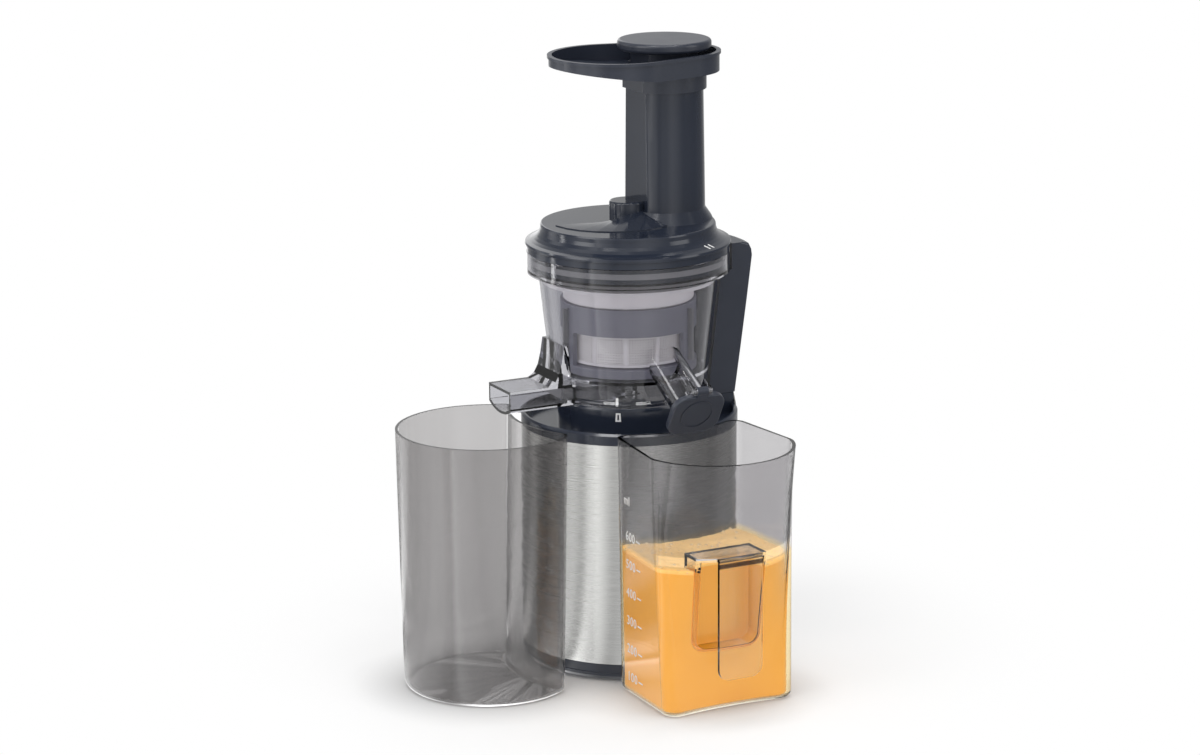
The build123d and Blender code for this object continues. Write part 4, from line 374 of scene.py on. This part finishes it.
def build_materials():
    """Makes all finishes of the juicer. Each starts with its name, colour and roughness."""
    build_moulded_group()
    build_brushed_group()
    moulded("satin_black", (0.024, 0.029, 0.044), 0.30, 1400.0, 0.03)
    moulded("gloss_black", (0.018, 0.023, 0.037), 0.15, 700.0, 0.004)
    moulded("rubber_black", (0.016, 0.016, 0.017), 0.68, 1600.0, 0.12)
    moulded("dark_plastic", (0.026, 0.027, 0.030), 0.50, 1100.0, 0.06)
    brushed("steel_wrap", (0.62, 0.62, 0.605), 0.25)
    brushed("ground_steel", (0.58, 0.58, 0.59), 0.18, 3000.0, 0.03)
    brushed("zinc", (0.48, 0.49, 0.50), 0.38, 1400.0, 0.05)
    # Painted light: the glow brightens the sieve inside the bowl.
    moulded("sieve_steel", (0.84, 0.81, 0.81), 0.38, 1400.0, 0.03, glow=(0.07, 0.067, 0.067), Metallic=0.4)
    moulded("sintered_iron", (0.20, 0.19, 0.18), 0.55, 1500.0, 0.2, Metallic=0.8)
    moulded("nylon", (0.76, 0.74, 0.66), 0.42, 900.0, 0.03)
    moulded("ferrite", (0.045, 0.045, 0.047), 0.62, 1200.0, 0.1)
    moulded("carbon", (0.03, 0.03, 0.03), 0.6, 2000.0, 0.1)
    moulded("circuit_board", (0.03, 0.13, 0.06), 0.38, 500.0, 0.05, 0.5)
    moulded("winding_core", (0.36, 0.20, 0.10), 0.42, 700.0, 0.3, 0.4, Metallic=0.6)
    moulded("silicone", (0.26, 0.26, 0.27), 0.52, 700.0, 0.04)
    moulded("grey_ring", (0.24, 0.24, 0.29), 0.40, 900.0, 0.02)
    # Painted light: the glow brightens the frame inside the bowl.
    moulded("pale_frame", (0.88, 0.85, 0.86), 0.36, 800.0, 0.02, glow=(0.10, 0.095, 0.10))
    moulded("auger_plastic", (0.24, 0.24, 0.27), 0.36, 900.0, 0.03)
    clear("smoke_bowl", (0.54, 0.54, 0.57), 0.04, (0.92, 0.92, 0.93))
    clear("smoke_tub", (0.55, 0.54, 0.54), 0.05, (0.72, 0.71, 0.71))
    clear("smoke_jug", (0.64, 0.63, 0.64), 0.04, (0.94, 0.93, 0.92), tint=jug_tint)
    # Painted light: juice and foam glow so that they look lit through the jug wall.
    moulded("juice", (0.95, 0.50, 0.09), 0.42, 260.0, 0.05, 0.10, glow=(0.10, 0.05, 0.004), mirrored=False)
    moulded("foam", (0.98, 0.66, 0.28), 0.45, 900.0, 0.25, 0.30, glow=(0.22, 0.13, 0.05), mirrored=False)
    moulded("bubble", (0.95, 0.72, 0.42), 0.12, 900.0, 0.0, 0.2, mirrored=False)
    moulded("print_white", (0.80, 0.80, 0.80), 0.50, 900.0, 0.0, 0.0)
    moulded("print_jug", (0.78, 0.78, 0.78), 0.50, 900.0, 0.0, 0.0)


FINISH_OF = {
    "satin_black": ["base_pan", "arm_housing", "arm_front_cover", "spout_cap", "feed_tray", "pusher",
                    "pusher_cap", "interlock_plunger", "switch_bezel"],
    "gloss_black": ["top_cover", "lid"],
    "rubber_black": ["rubber_foot", "cord_grommet"],
    "dark_plastic": ["interlock_switch", "power_rocker", "motor_end_cap", "gearbox_base", "gearbox_cover",
                     "idler_gear"],
    "steel_wrap": ["steel_sleeve"],
    "ground_steel": ["motor_bearings", "motor_pinion", "output_shaft", "output_bearings", "gear_shafts",
                     "cap_hinge_pin", "idler_pin", "auger_bush", "auger_pin"],
    "zinc": ["motor_can", "base_screws", "gearbox_screws", "arm_screws", "interlock_spring"],
    "sieve_steel": ["strainer_mesh"],
    "sintered_iron": ["output_gear"],
    "nylon": ["cooling_fan", "first_gear", "second_gear"],
    "ferrite": ["motor_magnets"],
    "carbon": ["carbon_brushes"],
    "circuit_board": ["control_board"],
    "winding_core": ["armature"],
    "silicone": ["shaft_seal", "bowl_foot_seal", "pulp_flap", "spout_plug", "lid_seal", "wiper_blades"],
    "grey_ring": ["brush_holder"],
    "pale_frame": ["strainer_frame"],
    "auger_plastic": ["auger"],
    "smoke_bowl": ["juice_bowl"],
    "smoke_tub": ["pulp_container"],
    "smoke_jug": ["juice_jug"],
    "juice": ["orange_juice"],
}


def dress_nodes():
    """Gives every solid its finish."""
    for finish, names in FINISH_OF.items():
        for name in names:
            solid = NODES[name]
            solid.data.materials.clear()
            solid.data.materials.append(FINISHES[finish])


# ------------------------------------------------------------------ modelling helpers
def deselect_all():
    """Leaves nothing selected, so that an operator acts on one piece only."""
    bpy.ops.object.select_all(action="DESELECT")


def only(piece):
    """Makes a piece the one selected and active object."""
    deselect_all()
    piece.select_set(True)
    bpy.context.view_layer.objects.active = piece


def select_where(piece, kind, test):
    """In edit mode, selects the vertices, edges or faces whose centre passes a test."""
    bpy.ops.mesh.select_mode(type=kind)
    bpy.ops.mesh.select_all(action="DESELECT")
    bpy.ops.object.mode_set(mode="OBJECT")
    mesh = piece.data
    if kind == "VERT":
        for vertex in mesh.vertices:
            vertex.select = test(vertex.co)
    elif kind == "EDGE":
        for edge in mesh.edges:
            first, second = (mesh.vertices[index].co for index in edge.vertices)
            edge.select = test(first, second)
    else:
        for face in mesh.polygons:
            face.select = test(face.center, face.normal)
    bpy.ops.object.mode_set(mode="EDIT")


def apply_modifier(piece, kind, **settings):
    """Adds a modifier with its settings and applies it."""
    modifier = piece.modifiers.new(kind.lower(), kind)
    for key, value in settings.items():
        setattr(modifier, key, value)
    only(piece)
    bpy.ops.object.modifier_apply(modifier=modifier.name)


def finish_piece(piece, name, body, finish, smooth=35):
    """Applies the place of a piece, names it and hands it to its body."""
    only(piece)
    bpy.ops.object.transform_apply(location=True, rotation=True, scale=True)
    if smooth:
        bpy.ops.object.shade_smooth_by_angle(angle=math.radians(smooth))
    piece.name = name
    piece.data.name = name
    piece.data.materials.clear()
    piece.data.materials.append(FINISHES[finish])
    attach(piece, body)
    return piece


def radial_place(radius, direction, height):
    """Point at a radius and a direction in degrees, in metres."""
    angle = math.radians(direction)
    return Vector((radius * math.cos(angle), radius * math.sin(angle), height))


# ------------------------------------------------------------------ printed marks
PRINT_PROUD = 0.00012
BAR_CORNER_SHARE = 0.3
BAR_CORNER_STEPS = 3


def add_bar(width, height, place, direction, lean=0.0, turn=0.0):
    """Thin printed bar with soft corners, facing outwards in a direction in degrees."""
    bpy.ops.mesh.primitive_cube_add(size=1.0)
    bar = bpy.context.object
    bar.scale = (PRINT_PROUD * 2, width, height)
    only(bar)
    bpy.ops.object.transform_apply(location=False, rotation=False, scale=True)
    bpy.ops.object.mode_set(mode="EDIT")
    select_where(bar, "EDGE", lambda a, b: abs(a.x - b.x) > PRINT_PROUD)
    bpy.ops.mesh.bevel(offset=min(width, height) * BAR_CORNER_SHARE, segments=BAR_CORNER_STEPS,
                       affect="EDGES")
    bpy.ops.object.mode_set(mode="OBJECT")
    turned = Matrix.Rotation(math.radians(direction), 4, "Z") @ Matrix.Rotation(lean, 4, "Y")
    bar.matrix_world = Matrix.Translation(place) @ turned @ Matrix.Rotation(turn, 4, "X")
    return bar


LOCK_LINE_SHARE = 0.2
LOCK_WINDOW = (0.9, 0.55, 1)
LOCK_TOP = (1, 0.8, 1)


def add_lock_mark(width, height, place, direction):
    """Outlined mark, narrower at the top, that shows the locked place."""
    bpy.ops.mesh.primitive_plane_add(size=1.0)
    mark = bpy.context.object
    mark.scale = (height, width, 1)
    only(mark)
    bpy.ops.object.transform_apply(location=False, rotation=False, scale=True)
    bpy.ops.object.mode_set(mode="EDIT")
    bpy.ops.mesh.select_all(action="SELECT")
    bpy.ops.mesh.inset(thickness=width * LOCK_LINE_SHARE)
    bpy.ops.transform.resize(value=LOCK_WINDOW)
    bpy.ops.mesh.delete(type="FACE")
    select_where(mark, "VERT", lambda point: point.x < 0)
    bpy.ops.transform.resize(value=LOCK_TOP)
    bpy.ops.object.mode_set(mode="OBJECT")
    apply_modifier(mark, "SOLIDIFY", thickness=PRINT_PROUD * 2, offset=0.0)
    turned = Matrix.Rotation(math.radians(direction), 4, "Z") @ Matrix.Rotation(math.radians(90), 4, "Y")
    mark.matrix_world = Matrix.Translation(place) @ turned
    return mark


def join(pieces):
    """Joins pieces into the first one."""
    for piece in pieces:
        only(piece)
        bpy.ops.object.transform_apply(location=True, rotation=True, scale=True)
    deselect_all()
    for piece in pieces:
        piece.select_set(True)
    bpy.context.view_layer.objects.active = pieces[0]
    bpy.ops.object.join()
    return bpy.context.object


MARK_DIRECTION = -36.0
LOCK_BAR_SIZE = (0.0017, 0.0060)
LOCK_BAR_HEIGHT = 0.1945
BOWL_FOOT_FACE = 0.0546
LOCK_MARK_SIZE = (0.0040, 0.0060)
LOCK_MARK_HEIGHT = 0.1825
NECK_FACE = 0.0500


def add_lock_marks():
    """Bar on the bowl and outlined mark on the neck below it."""
    bar_place = radial_place(BOWL_FOOT_FACE, MARK_DIRECTION, LOCK_BAR_HEIGHT)
    bar = add_bar(*LOCK_BAR_SIZE, bar_place, MARK_DIRECTION)
    finish_piece(bar, "bowl_lock_bar", "bowl", "print_white", smooth=0)
    mark_place = radial_place(NECK_FACE + PRINT_PROUD, MARK_DIRECTION, LOCK_MARK_HEIGHT)
    mark = add_lock_mark(*LOCK_MARK_SIZE, mark_place, MARK_DIRECTION)
    finish_piece(mark, "base_lock_mark", "base", "print_white", smooth=0)


FLARE_FACE = 0.0668
FLARE_HEIGHT = 0.2993
FLARE_LEAN = math.radians(-62)
LID_TICK_SIZE = (0.0012, 0.0050)
LID_TICK_SLANT = math.radians(25)
LID_TICK_DIRECTIONS = (26.5, 30.5)


def add_lid_ticks():
    """Two slanted strokes on the flare of the lid."""
    ticks = [add_bar(*LID_TICK_SIZE, radial_place(FLARE_FACE, direction, FLARE_HEIGHT), direction, FLARE_LEAN,
                     LID_TICK_SLANT)
             for direction in LID_TICK_DIRECTIONS]
    finish_piece(join(ticks), "lid_lock_ticks", "lid", "print_white", smooth=0)


# ------------------------------------------------------------------ measure of the jug
JUG_HEIGHT = 0.1786
JUG_SIDE_NEAR = Vector((0.0650, -0.0475))
JUG_SIDE_FAR_LOW = Vector((0.1510, -0.0495))
JUG_SIDE_FAR_TOP = Vector((0.1350, -0.0540))
MEASURE_X = 0.0960
MEASURE_STEP = 0.0200
MEASURE_FIRST = 0.0138
MEASURE_LINES = 6
UNIT_X = 0.0910
UNIT_HEIGHT = 0.1386
DIGIT_SIZE = 0.0092
TICK_SIZE = (0.0060, 0.0009)
TICK_X = 0.1085
WORD_SPACING = 1.12
WORD_ROUNDNESS = 4
SLOPE_STEP = 0.01


def jug_side(x, height):
    """Y of the jug's side wall at a place and a height."""
    far = JUG_SIDE_FAR_LOW.lerp(JUG_SIDE_FAR_TOP, height / JUG_HEIGHT)
    share = (x - JUG_SIDE_NEAR.x) / (far.x - JUG_SIDE_NEAR.x)
    return JUG_SIDE_NEAR.y + share * (far.y - JUG_SIDE_NEAR.y)


def on_jug_side(x, height):
    """Matrix that puts a flat mark on the side wall, reading along +X."""
    here = Vector((x, jug_side(x, height), height))
    along = (Vector((x + SLOPE_STEP, jug_side(x + SLOPE_STEP, height), height)) - here).normalized()
    up = (Vector((x, jug_side(x, height + SLOPE_STEP), height + SLOPE_STEP)) - here).normalized()
    out = along.cross(up)
    place = here + out * PRINT_PROUD * 0.5
    return Matrix(((along.x, up.x, out.x, place.x), (along.y, up.y, out.y, place.y),
                   (along.z, up.z, out.z, place.z), (0, 0, 0, 1)))


def add_words(words, size, x, height):
    """Flat raised words on the side wall of the jug."""
    bpy.ops.object.text_add()
    text = bpy.context.object
    text.data.body = words
    text.data.size = size
    text.data.space_character = WORD_SPACING
    text.data.align_x = "CENTER"
    text.data.align_y = "CENTER"
    text.data.extrude = PRINT_PROUD
    text.data.resolution_u = WORD_ROUNDNESS
    only(text)
    bpy.ops.object.convert(target="MESH")
    text = bpy.context.object
    text.matrix_world = on_jug_side(x, height)
    return text


def add_measure():
    """Numbers and ticks in millilitres up the side of the jug."""
    marks = [add_words("ml", DIGIT_SIZE, UNIT_X, UNIT_HEIGHT)]
    for count in range(1, MEASURE_LINES + 1):
        height = MEASURE_FIRST + MEASURE_STEP * (count - 1)
        marks.append(add_words(str(100 * count), DIGIT_SIZE, MEASURE_X, height))
        bpy.ops.mesh.primitive_cube_add(size=1.0)
        tick = bpy.context.object
        tick.matrix_world = on_jug_side(TICK_X, height) @ Matrix.Diagonal((*TICK_SIZE, PRINT_PROUD * 2, 1))
        marks.append(tick)
    finish_piece(join(marks), "jug_measure", "juice_jug", "print_jug", smooth=0)


# ------------------------------------------------------------------ strainer wall
SIEVE_COLUMNS = 144
SIEVE_ROWS = 22
SIEVE_RADIUS = 0.0426
SIEVE_LOW = 0.2182
SIEVE_HIGH = 0.2578
SIEVE_BAR = 0.00058
SIEVE_WALL = 0.0004


def add_sieve():
    """Perforated wall of the strainer."""
    height = SIEVE_HIGH - SIEVE_LOW
    bpy.ops.mesh.primitive_cylinder_add(vertices=SIEVE_COLUMNS, radius=SIEVE_RADIUS, depth=height,
                                        end_fill_type="NOTHING", location=(0, 0, SIEVE_LOW + height / 2))
    sieve = bpy.context.object
    only(sieve)
    bpy.ops.object.mode_set(mode="EDIT")
    select_where(sieve, "EDGE", lambda a, b: abs(a.z - b.z) > height / 2)
    bpy.ops.mesh.subdivide(number_cuts=SIEVE_ROWS - 1)
    bpy.ops.mesh.select_mode(type="FACE")
    bpy.ops.mesh.select_all(action="SELECT")
    bpy.ops.mesh.inset(thickness=SIEVE_BAR, use_individual=True)
    bpy.ops.mesh.delete(type="FACE")
    bpy.ops.object.mode_set(mode="OBJECT")
    apply_modifier(sieve, "SOLIDIFY", thickness=SIEVE_WALL, offset=-1.0)
    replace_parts(finish_piece(sieve, "sieve_wall", "bowl", "sieve_steel"), "strainer_mesh")


# ------------------------------------------------------------------ foam on the juice
JUICE_TOP = 0.1005
FOAM_LOW = 0.0992
FOAM_TOP = 0.1028
FOAM_CELL = 0.0009
FOAM_SKIRT = 0.0005
SAME_POINT = 0.00001
RIPPLE_SIZE = 0.009
RIPPLE_DETAIL = 3
RIPPLE_HEIGHT = 0.0026
RIPPLE_MIDDLE = 0.6
RIPPLE_BAND = 0.0006
BUBBLE_BAND = 0.001
BUBBLE_SEED = 11
BUBBLE_COUNT = 150
BUBBLE_RADII = (0.0005, 0.0006, 0.0008, 0.0010, 0.0014)
BUBBLE_FLATNESS = 0.7


def add_foam():
    """Uneven foam that lies on the juice inside the jug."""
    foam = bpy.data.objects.new("juice_foam", NODES["orange_juice"].data.copy())
    bpy.context.scene.collection.objects.link(foam)
    only(foam)
    bpy.ops.object.mode_set(mode="EDIT")
    bpy.ops.mesh.select_all(action="SELECT")
    bpy.ops.mesh.remove_doubles(threshold=SAME_POINT)
    bpy.ops.mesh.bisect(plane_co=(0, 0, FOAM_LOW), plane_no=(0, 0, 1), clear_inner=True, use_fill=True)
    select_where(foam, "VERT", lambda point: point.z > FOAM_LOW + FOAM_SKIRT)
    bpy.ops.transform.translate(value=(0, 0, FOAM_TOP - JUICE_TOP))
    bpy.ops.object.mode_set(mode="OBJECT")
    apply_modifier(foam, "REMESH", mode="VOXEL", voxel_size=FOAM_CELL)
    ripple = bpy.data.textures.new("foam_ripple", "CLOUDS")
    ripple.noise_scale = RIPPLE_SIZE
    ripple.noise_depth = RIPPLE_DETAIL
    upper = foam.vertex_groups.new(name="upper")
    upper.add([v.index for v in foam.data.vertices if v.co.z > FOAM_TOP - RIPPLE_BAND], 1.0, "REPLACE")
    apply_modifier(foam, "DISPLACE", texture=ripple, texture_coords="LOCAL", direction="Z",
                   strength=RIPPLE_HEIGHT, mid_level=RIPPLE_MIDDLE, vertex_group="upper")
    return finish_piece(foam, "juice_foam", "juice_jug", "foam", smooth=60)


def add_bubbles(foam):
    """Bubbles of several sizes set into the top of the foam."""
    chance = random.Random(BUBBLE_SEED)
    tops = [v.co.copy() for v in foam.data.vertices if v.co.z > FOAM_TOP - BUBBLE_BAND]
    bubbles = []
    for _ in range(BUBBLE_COUNT):
        spot = chance.choice(tops)
        radius = chance.choice(BUBBLE_RADII)
        bpy.ops.mesh.primitive_ico_sphere_add(subdivisions=2, radius=radius, location=spot)
        bubble = bpy.context.object
        bubble.scale.z = BUBBLE_FLATNESS
        bubbles.append(bubble)
    return finish_piece(join(bubbles), "foam_bubbles", "juice_jug", "bubble", smooth=80)


# ------------------------------------------------------------------ studio
# What polished faces mirror: degrees to the right of the front, and brightness.
GLOW_PEAK = 2.4
GLOW_RAMP = [
    (-180, 0.6), (-177, 0.7), (-172, 1.7), (-162, 1.5), (-154, 0.5), (-128, 0.26), (-118, 1.2), (-108, 1.2),
    (-101, 0.3), (-86, 0.3), (-76, 0.75), (-69, 0.85), (-64, 1.35), (-54, 1.35), (-49, 0.6), (-45, 0.4),
    (-41, GLOW_PEAK), (-35, 1.4), (-24, 0.95), (-17, 0.5), (-12, 0.6), (-6, 0.75), (6, 0.75), (20, 1.1),
    (35, 0.9), (54, 0.42), (90, 0.26), (130, 0.24), (155, 0.5), (180, 0.6)]


def build_glow_group():
    """Brightness of the mirrored studio by its direction, brightest in front on the left."""
    tree, enter, leave = group("glow", [], [("Strength", "NodeSocketFloat")])
    tree.interface.new_socket("Vector", in_out="INPUT", socket_type="NodeSocketVector")
    parts = node(tree, "ShaderNodeSeparateXYZ", {"Vector": enter.outputs["Vector"]})
    front = turned_to_row(0, -1, 0)
    aside = turned_to_row(1, 0, 0)
    ahead, across = (
        math_node(tree, "ADD", math_node(tree, "MULTIPLY", parts.outputs["X"], way.x),
                  math_node(tree, "MULTIPLY", parts.outputs["Y"], way.y))
        for way in (front, aside))
    turn = math_node(tree, "ARCTAN2", across, ahead)
    share = math_node(tree, "MULTIPLY_ADD", turn, 0.5 / math.pi, 0.5)
    ramp = node(tree, "ShaderNodeValToRGB", {"Fac": share})
    stops = ramp.color_ramp.elements
    while len(stops) < len(GLOW_RAMP):
        stops.new(0.5)
    for stop, (degrees, bright) in zip(stops, GLOW_RAMP):
        stop.position = 0.5 + degrees / 360
        stop.color = (*[bright / GLOW_PEAK] * 3, 1)
    value = math_node(tree, "MULTIPLY", ramp.outputs["Color"], GLOW_PEAK)
    tree.links.new(value, leave.inputs["Strength"])


FLOOR_SIZE = 14.0
FLOOR_COLOUR = (0.86, 0.86, 0.86, 1)
FLOOR_NEAR = 0.15
FLOOR_FAR = 0.32
FLOOR_LIFT = 0.45
CONTACT_REACH = 0.05
CONTACT_OPEN = (0.35, 0.95)
PAINTED_CONTACT_SHADE = 0.15


def add_floor():
    """White floor for the camera that keeps the soft shadows close to the object, with a painted contact
    shadow that darkens its white.
    """
    bpy.ops.mesh.primitive_plane_add(size=FLOOR_SIZE, location=(0, 0, 0))
    floor = bpy.context.object
    floor.name = "studio_floor"
    tree, output = new_material("studio_floor")
    diffuse = node(tree, "ShaderNodeBsdfDiffuse", {"Color": FLOOR_COLOUR})
    path = node(tree, "ShaderNodeLightPath")
    place = node(tree, "ShaderNodeTexCoord")
    away = node(tree, "ShaderNodeVectorMath", {0: place.outputs["Object"]}, operation="LENGTH")
    far = node(tree, "ShaderNodeMapRange", {
        "Value": away.outputs["Value"], "From Min": FLOOR_NEAR, "From Max": FLOOR_FAR, "To Min": FLOOR_LIFT},
               interpolation_type="SMOOTHSTEP")
    share = math_node(tree, "MULTIPLY", seen_ray(tree, path), far.outputs["Result"])
    # Painted shadow: the white emission darkens by ambient occlusion close to the object.
    contact = node(tree, "ShaderNodeAmbientOcclusion", {"Distance": CONTACT_REACH})
    shade = node(tree, "ShaderNodeMapRange", {
        "Value": contact.outputs["AO"], "From Min": CONTACT_OPEN[0], "From Max": CONTACT_OPEN[1],
        "To Min": PAINTED_CONTACT_SHADE})
    white = node(tree, "ShaderNodeEmission", {"Strength": shade.outputs["Result"]})
    lit = node(tree, "ShaderNodeMixShader", {0: share})
    tree.links.new(diffuse.outputs[0], lit.inputs[1])
    tree.links.new(white.outputs[0], lit.inputs[2])
    glow = use_group(tree, "glow", Vector=place.outputs["Object"])
    plain = node(tree, "ShaderNodeEmission", {"Strength": glow.outputs["Strength"]})
    both = node(tree, "ShaderNodeMixShader", {0: mirror_ray(tree, path)})
    tree.links.new(lit.outputs[0], both.inputs[1])
    tree.links.new(plain.outputs[0], both.inputs[2])
    finish_with(tree, output, both)
    floor.data.materials.append(FINISHES["studio_floor"])


WORLD_LIGHT = 0.60


def add_world():
    """White surroundings: plain light, white to the camera and darker at the sides of a mirror image."""
    world = bpy.data.worlds.new("studio")
    world.use_nodes = True
    tree = world.node_tree
    tree.nodes.clear()
    path = node(tree, "ShaderNodeLightPath")
    place = node(tree, "ShaderNodeTexCoord")
    glow = use_group(tree, "glow", Vector=place.outputs["Generated"])
    plain = math_node(tree, "MULTIPLY_ADD", seen_ray(tree, path), 1 - WORLD_LIGHT, WORLD_LIGHT)
    beyond = math_node(tree, "SUBTRACT", glow.outputs["Strength"], WORLD_LIGHT)
    mirrored = math_node(tree, "MULTIPLY", beyond, mirror_ray(tree, path))
    strength = math_node(tree, "ADD", plain, mirrored)
    light = node(tree, "ShaderNodeBackground", {"Color": (1, 1, 1, 1), "Strength": strength})
    output = tree.nodes.new("ShaderNodeOutputWorld")
    tree.links.new(light.outputs[0], output.inputs["Surface"])
    bpy.context.scene.world = world


LAMP_AIM = Vector((0.02, 0.0, 0.22))
# Each lamp: name, place (to the right, away from the camera, up), width and length, power in watts.
LAMPS = [
    ("top_left", (-0.45, -0.5, 1.8), (0.42, 0.42), 4.5),
    ("top_right", (0.35, -0.5, 1.8), (0.42, 0.42), 4.5),
    ("back_bar", (0.22, 0.65, 1.8), (0.75, 0.14), 4.0),
    ("front_bar", (-0.25, -1.0, 1.5), (0.9, 0.16), 3.0),
    ("left_box", (-1.5, -0.9, 1.0), (0.9, 1.4), 9.0),
    ("right_box", (1.6, -0.5, 0.9), (0.7, 1.4), 6.0),
    ("left_strip", (-1.2, 0.05, 0.30), (0.10, 0.9), 1.6),
]


def add_lamps():
    """Soft rectangular lamps around and above, all aimed at the middle of the juicer."""
    for name, offset, size, power in LAMPS:
        data = bpy.data.lights.new(name, "AREA")
        data.shape = "RECTANGLE"
        data.size, data.size_y = size
        data.energy = power
        lamp = bpy.data.objects.new(name, data)
        bpy.context.scene.collection.objects.link(lamp)
        lamp.location = turned_to_row(*offset)
        lamp.rotation_euler = (LAMP_AIM - lamp.location).to_track_quat("-Z", "Y").to_euler()


# ------------------------------------------------------------------ build
bpy.context.scene.view_settings.view_transform = "Standard"
add_camera()
build_materials()
dress_nodes()
add_lock_marks()
add_lid_ticks()
add_measure()
add_sieve()
add_bubbles(add_foam())
build_glow_group()
add_floor()
add_world()
add_lamps()
